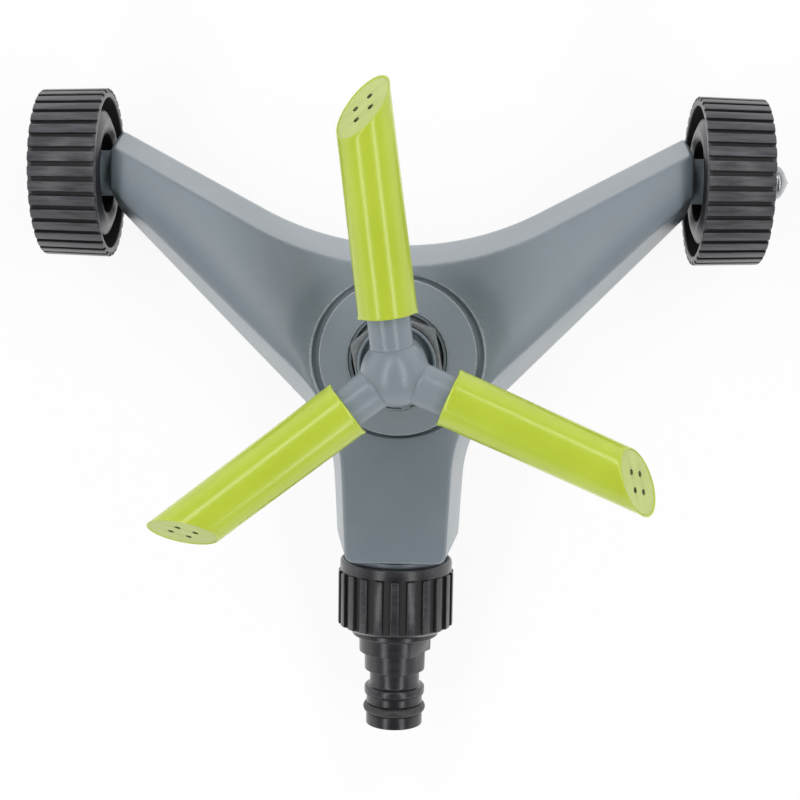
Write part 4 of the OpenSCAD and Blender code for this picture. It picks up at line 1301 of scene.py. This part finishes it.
def coupling_nut():
    """Nut with a smooth rear collar, ribs and an inner thread seat."""
    grip_from, grip_to = NUT_FROM + 3.6, NUT_TO - 1.2
    mouth_r, collar_r = TAIL_R + TAIL_PLAY, NUT_R - 0.5
    profile = rounded([(NUT_TO, mouth_r), (NUT_TO, NUT_R - 2.4, 0.5), (grip_to + 0.2, NUT_FLOOR, 1.0),
                       (grip_from, NUT_FLOOR, 0.2), (grip_from - 0.3, collar_r, 0.2),
                       (NUT_FROM, collar_r, 0.9), (NUT_FROM, NUT_SEAT, 0.3), (NUT_FROM + 2, NUT_SEAT, 0.1),
                       (NUT_FROM + 2, NUT_BORE, 0.2), (NUT_TO - 3, NUT_BORE, 0.1),
                       (NUT_TO - 3, mouth_r, 0.1), (NUT_TO, mouth_r)], 5)
    wear_and_painted_light = np.where(profile_edge(profile), 0.7, 0.0)
    # Painted shade on the floor between the ribs
    wear_and_painted_light[(profile[:, 0] > grip_from) & (profile[:, 1] > NUT_FLOOR - 0.1)] = -0.5
    skin = Skin().turned(round_inlet, profile, 132, wear_and_painted_light=wear_and_painted_light[:, None])
    body = "coupling_nut"
    make_piece("coupling_nut_collar", skin, body, NUT_BLACK, ["coupling_nut"], 34)
    rib = rib_mesh("nut_rib", grip_to - grip_from + 0.3, NUT_RIB_W, NUT_FLOOR, NUT_R, "Y")
    centre = (0, -(grip_from + grip_to) / 2, INLET_Z)
    ribs("coupling_nut_ribs", rib, NUT_RIBS, (0.0, 1.0, 0.0), centre, body, NUT_BLACK)


def hose_tail():
    """Tail with its flange, stop collar, spanner flats, locking neck and ridge, O-ring groove and nose."""
    flange_from, flange_to = NUT_TO - 4.8, NUT_TO - 3.1
    stop_from, stop_to = NUT_TO + 0.5, NUT_TO + 2.6
    flats_to, step_to = stop_to + 4.4, stop_to + 9.7
    neck_end = step_to + 4.7
    ridge_end = neck_end + 2.4
    flange_r, stop_r = TAIL_FLANGE_R, TAIL_STOP_R
    seal_r = NOSE_R - SEAL_DEEP
    profile = rounded([
        (flange_from, NOSE_FUNNEL_R), (flange_from, flange_r, 0.1), (flange_to, flange_r, 0.3),
        (flange_to, TAIL_R, 0.1), (stop_from, TAIL_R, 0.1), (stop_from, stop_r, 0.15),
        (stop_from + 1.4, stop_r, 0.35), (stop_to, TAIL_R + 0.1, 0.2), (flats_to, TAIL_R, 0.15),
        (flats_to, RIDGE_R + 0.1, 0.35), (step_to, RIDGE_R, 0.15), (step_to + 0.3, NECK_R, 0.5),
        (neck_end, NECK_R, 0.5), (neck_end + 0.2, RIDGE_R, 0.6), (ridge_end, RIDGE_R, 0.7),
        (ridge_end + 0.2, NOSE_R, 0.7), (SEAL_FROM, NOSE_R, 0.3), (SEAL_FROM, seal_r, 0.15),
        (SEAL_TO, seal_r, 0.2), (SEAL_TO, NOSE_TIP_R, 0.2), (NOSE_TO, NOSE_TIP_R, 0.15),
        (NOSE_TO, NOSE_BORE, 1.6), (flange_from + NOSE_FUNNEL, NOSE_BORE, 0.3),
        (flange_from, NOSE_FUNNEL_R)], 6)

    def with_flats(along, angle, radius):
        off = (angle - FLAT_TURN + math.pi / 2) % math.pi - math.pi / 2
        on_flats = (along > stop_to + 0.25) & (along < step_to - 0.3) & (radius > NOSE_BORE + 2.5)
        return np.where(on_flats, np.minimum(radius, FLAT_HALF / np.maximum(np.cos(off), 0.2)), radius)

    wear_and_painted_light = np.where(profile_edge(profile), 0.6, 0.3)
    wear_and_painted_light[profile[:, 0] > ridge_end] = 0.0
    skin = Skin().turned(round_inlet, profile, 128, with_flats, wear_and_painted_light[:, None])
    make_piece("hose_tail_nose", skin, "hose_tail", NUT_BLACK, ["hose_tail"], 30)


def dress_packed_nodes():
    """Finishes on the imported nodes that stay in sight."""
    finishes = {
        "grey_plastic": BASE_GREY, "rotor_grey": ROTOR_GREY, "lime_plastic": LIME,
        "pale_lime_plastic": PALE_LIME, "wheel_black": WHEEL_BLACK, "coupling_black": NUT_BLACK,
        "seal_rubber": RUBBER, "zinc_steel": ZINC, "bright_cap": BRIGHT, "stem_brass": BRASS,
        "white_nylon": NYLON,
    }
    slots = {part["node"]: part["material_slot"] for part in frame["record"]["subparts"]}
    for name, obj in frame["nodes"].items():
        obj.data.materials.clear()
        obj.data.materials.append(finishes[slots[name]])


def camera():
    """Camera above the part that looks down, with a small tilt, sway and roll."""
    data = bpy.data.cameras.new("photo_camera")
    data.sensor_width = SENSOR_WIDTH
    data.lens = FOCAL_PIXELS / PHOTO_WIDTH * SENSOR_WIDTH
    data.clip_start = 0.01
    obj = new_object("photo_camera", data)
    turn = (Matrix.Rotation(-CAMERA_SWAY, 4, "Y") @ Matrix.Rotation(-CAMERA_TILT, 4, "X")
            @ Matrix.Rotation(-CAMERA_ROLL, 4, "Z"))
    x, y, z = CAMERA_AT
    obj.matrix_world = Matrix.Translation((x * MM, (y + SPINDLE_Y) * MM, z * MM)) @ turn
    bpy.context.scene.camera = obj


def soft_box(name, at, aim):
    """Long soft box at a place, turned towards another."""
    data = bpy.data.lights.new(name, "AREA")
    data.shape = "RECTANGLE"
    data.size, data.size_y = SOFT_BOX_LONG, SOFT_BOX_WIDE
    data.energy = SOFT_BOX_WATTS
    obj = new_object(name, data)
    obj.location = at
    obj.rotation_mode = "QUATERNION"
    obj.rotation_quaternion = (Vector(aim) - Vector(at)).to_track_quat("-Z", "Y")


def surround():
    """Pale surround, brightest at the horizon, never less than white to the camera."""
    world = bpy.data.worlds.new("pale_surround")
    world.use_nodes = True
    bpy.context.scene.world = world
    nodes, links = world.node_tree.nodes, world.node_tree.links
    nodes.clear()
    where = nodes.new("ShaderNodeTexCoord")
    split = nodes.new("ShaderNodeSeparateXYZ")
    fall = nodes.new("ShaderNodeMapRange")
    path = nodes.new("ShaderNodeLightPath")
    seen = nodes.new("ShaderNodeMath")
    seen.operation = "MAXIMUM"
    background = nodes.new("ShaderNodeBackground")
    out = nodes.new("ShaderNodeOutputWorld")
    ramp = {"From Min": 0.0, "From Max": ZENITH_FROM, "To Min": HORIZON_GLOW, "To Max": ZENITH_GLOW}
    for key, value in ramp.items():
        fall.inputs[key].default_value = value
    background.inputs["Color"].default_value = rgb(1, 1, 1)
    links.new(where.outputs["Generated"], split.inputs[0])
    links.new(split.outputs["Z"], fall.inputs["Value"])
    links.new(path.outputs["Is Camera Ray"], seen.inputs[0])
    links.new(fall.outputs[0], seen.inputs[1])
    links.new(seen.outputs[0], background.inputs["Strength"])
    links.new(background.outputs[0], out.inputs["Surface"])


def lights():
    """Two long soft boxes above the part, one to each side, and the surround."""
    middle = (0, SPINDLE_Y * MM, AIM_UP)
    back = SPINDLE_Y * MM + SOFT_BOX_BACK
    for side, name in ((-1, "left_soft_box"), (1, "right_soft_box")):
        soft_box(name, (side * SOFT_BOX_ASIDE, back, SOFT_BOX_UP), middle)
    surround()


def floor():
    """Plain white floor that shows white to the camera and keeps the soft shadow."""
    mesh = bpy.data.meshes.new("floor")
    corners = [(x * FLOOR_HALF, y * FLOOR_HALF, 0) for x, y in ((-1, -1), (1, -1), (1, 1), (-1, 1))]
    mesh.from_pydata(corners, [], [(0, 1, 2, 3)])
    f = Finish("floor_white")
    matte = f.node("ShaderNodeBsdfDiffuse", {}, {"Color": rgb(FLOOR_WHITE, FLOOR_WHITE, FLOOR_WHITE)})
    gloss = f.node("ShaderNodeLightPath", {}, {}, "Is Glossy Ray")
    strength = gloss * FLOOR_SHEEN + 1.0
    glow = f.node("ShaderNodeEmission", {}, {"Color": rgb(1, 1, 1), "Strength": strength})
    seen = f.node("ShaderNodeLightPath", {}, {}, "Is Camera Ray")
    factor = (seen * FLOOR_SHOWN).math("MAXIMUM", gloss)
    mixed = f.node("ShaderNodeMixShader", {}, {0: factor, 1: matte, 2: glow})
    f.node("ShaderNodeOutputMaterial", {}, {"Surface": mixed})
    mesh.materials.append(f.material)
    new_object("floor", mesh)


camera()
lights()
floor()
dress_packed_nodes()
base_moulding()
gland_nut()
rotor_hub()
for arm in ARM_TURNS:
    arm_tube(arm)
    nozzle_plate(arm)
wheel(1, "right_wheel")
wheel(-1, "left_wheel")
axle_cap()
coupling_nut()
hose_tail()

bpy.context.scene.view_settings.view_transform = "Standard"
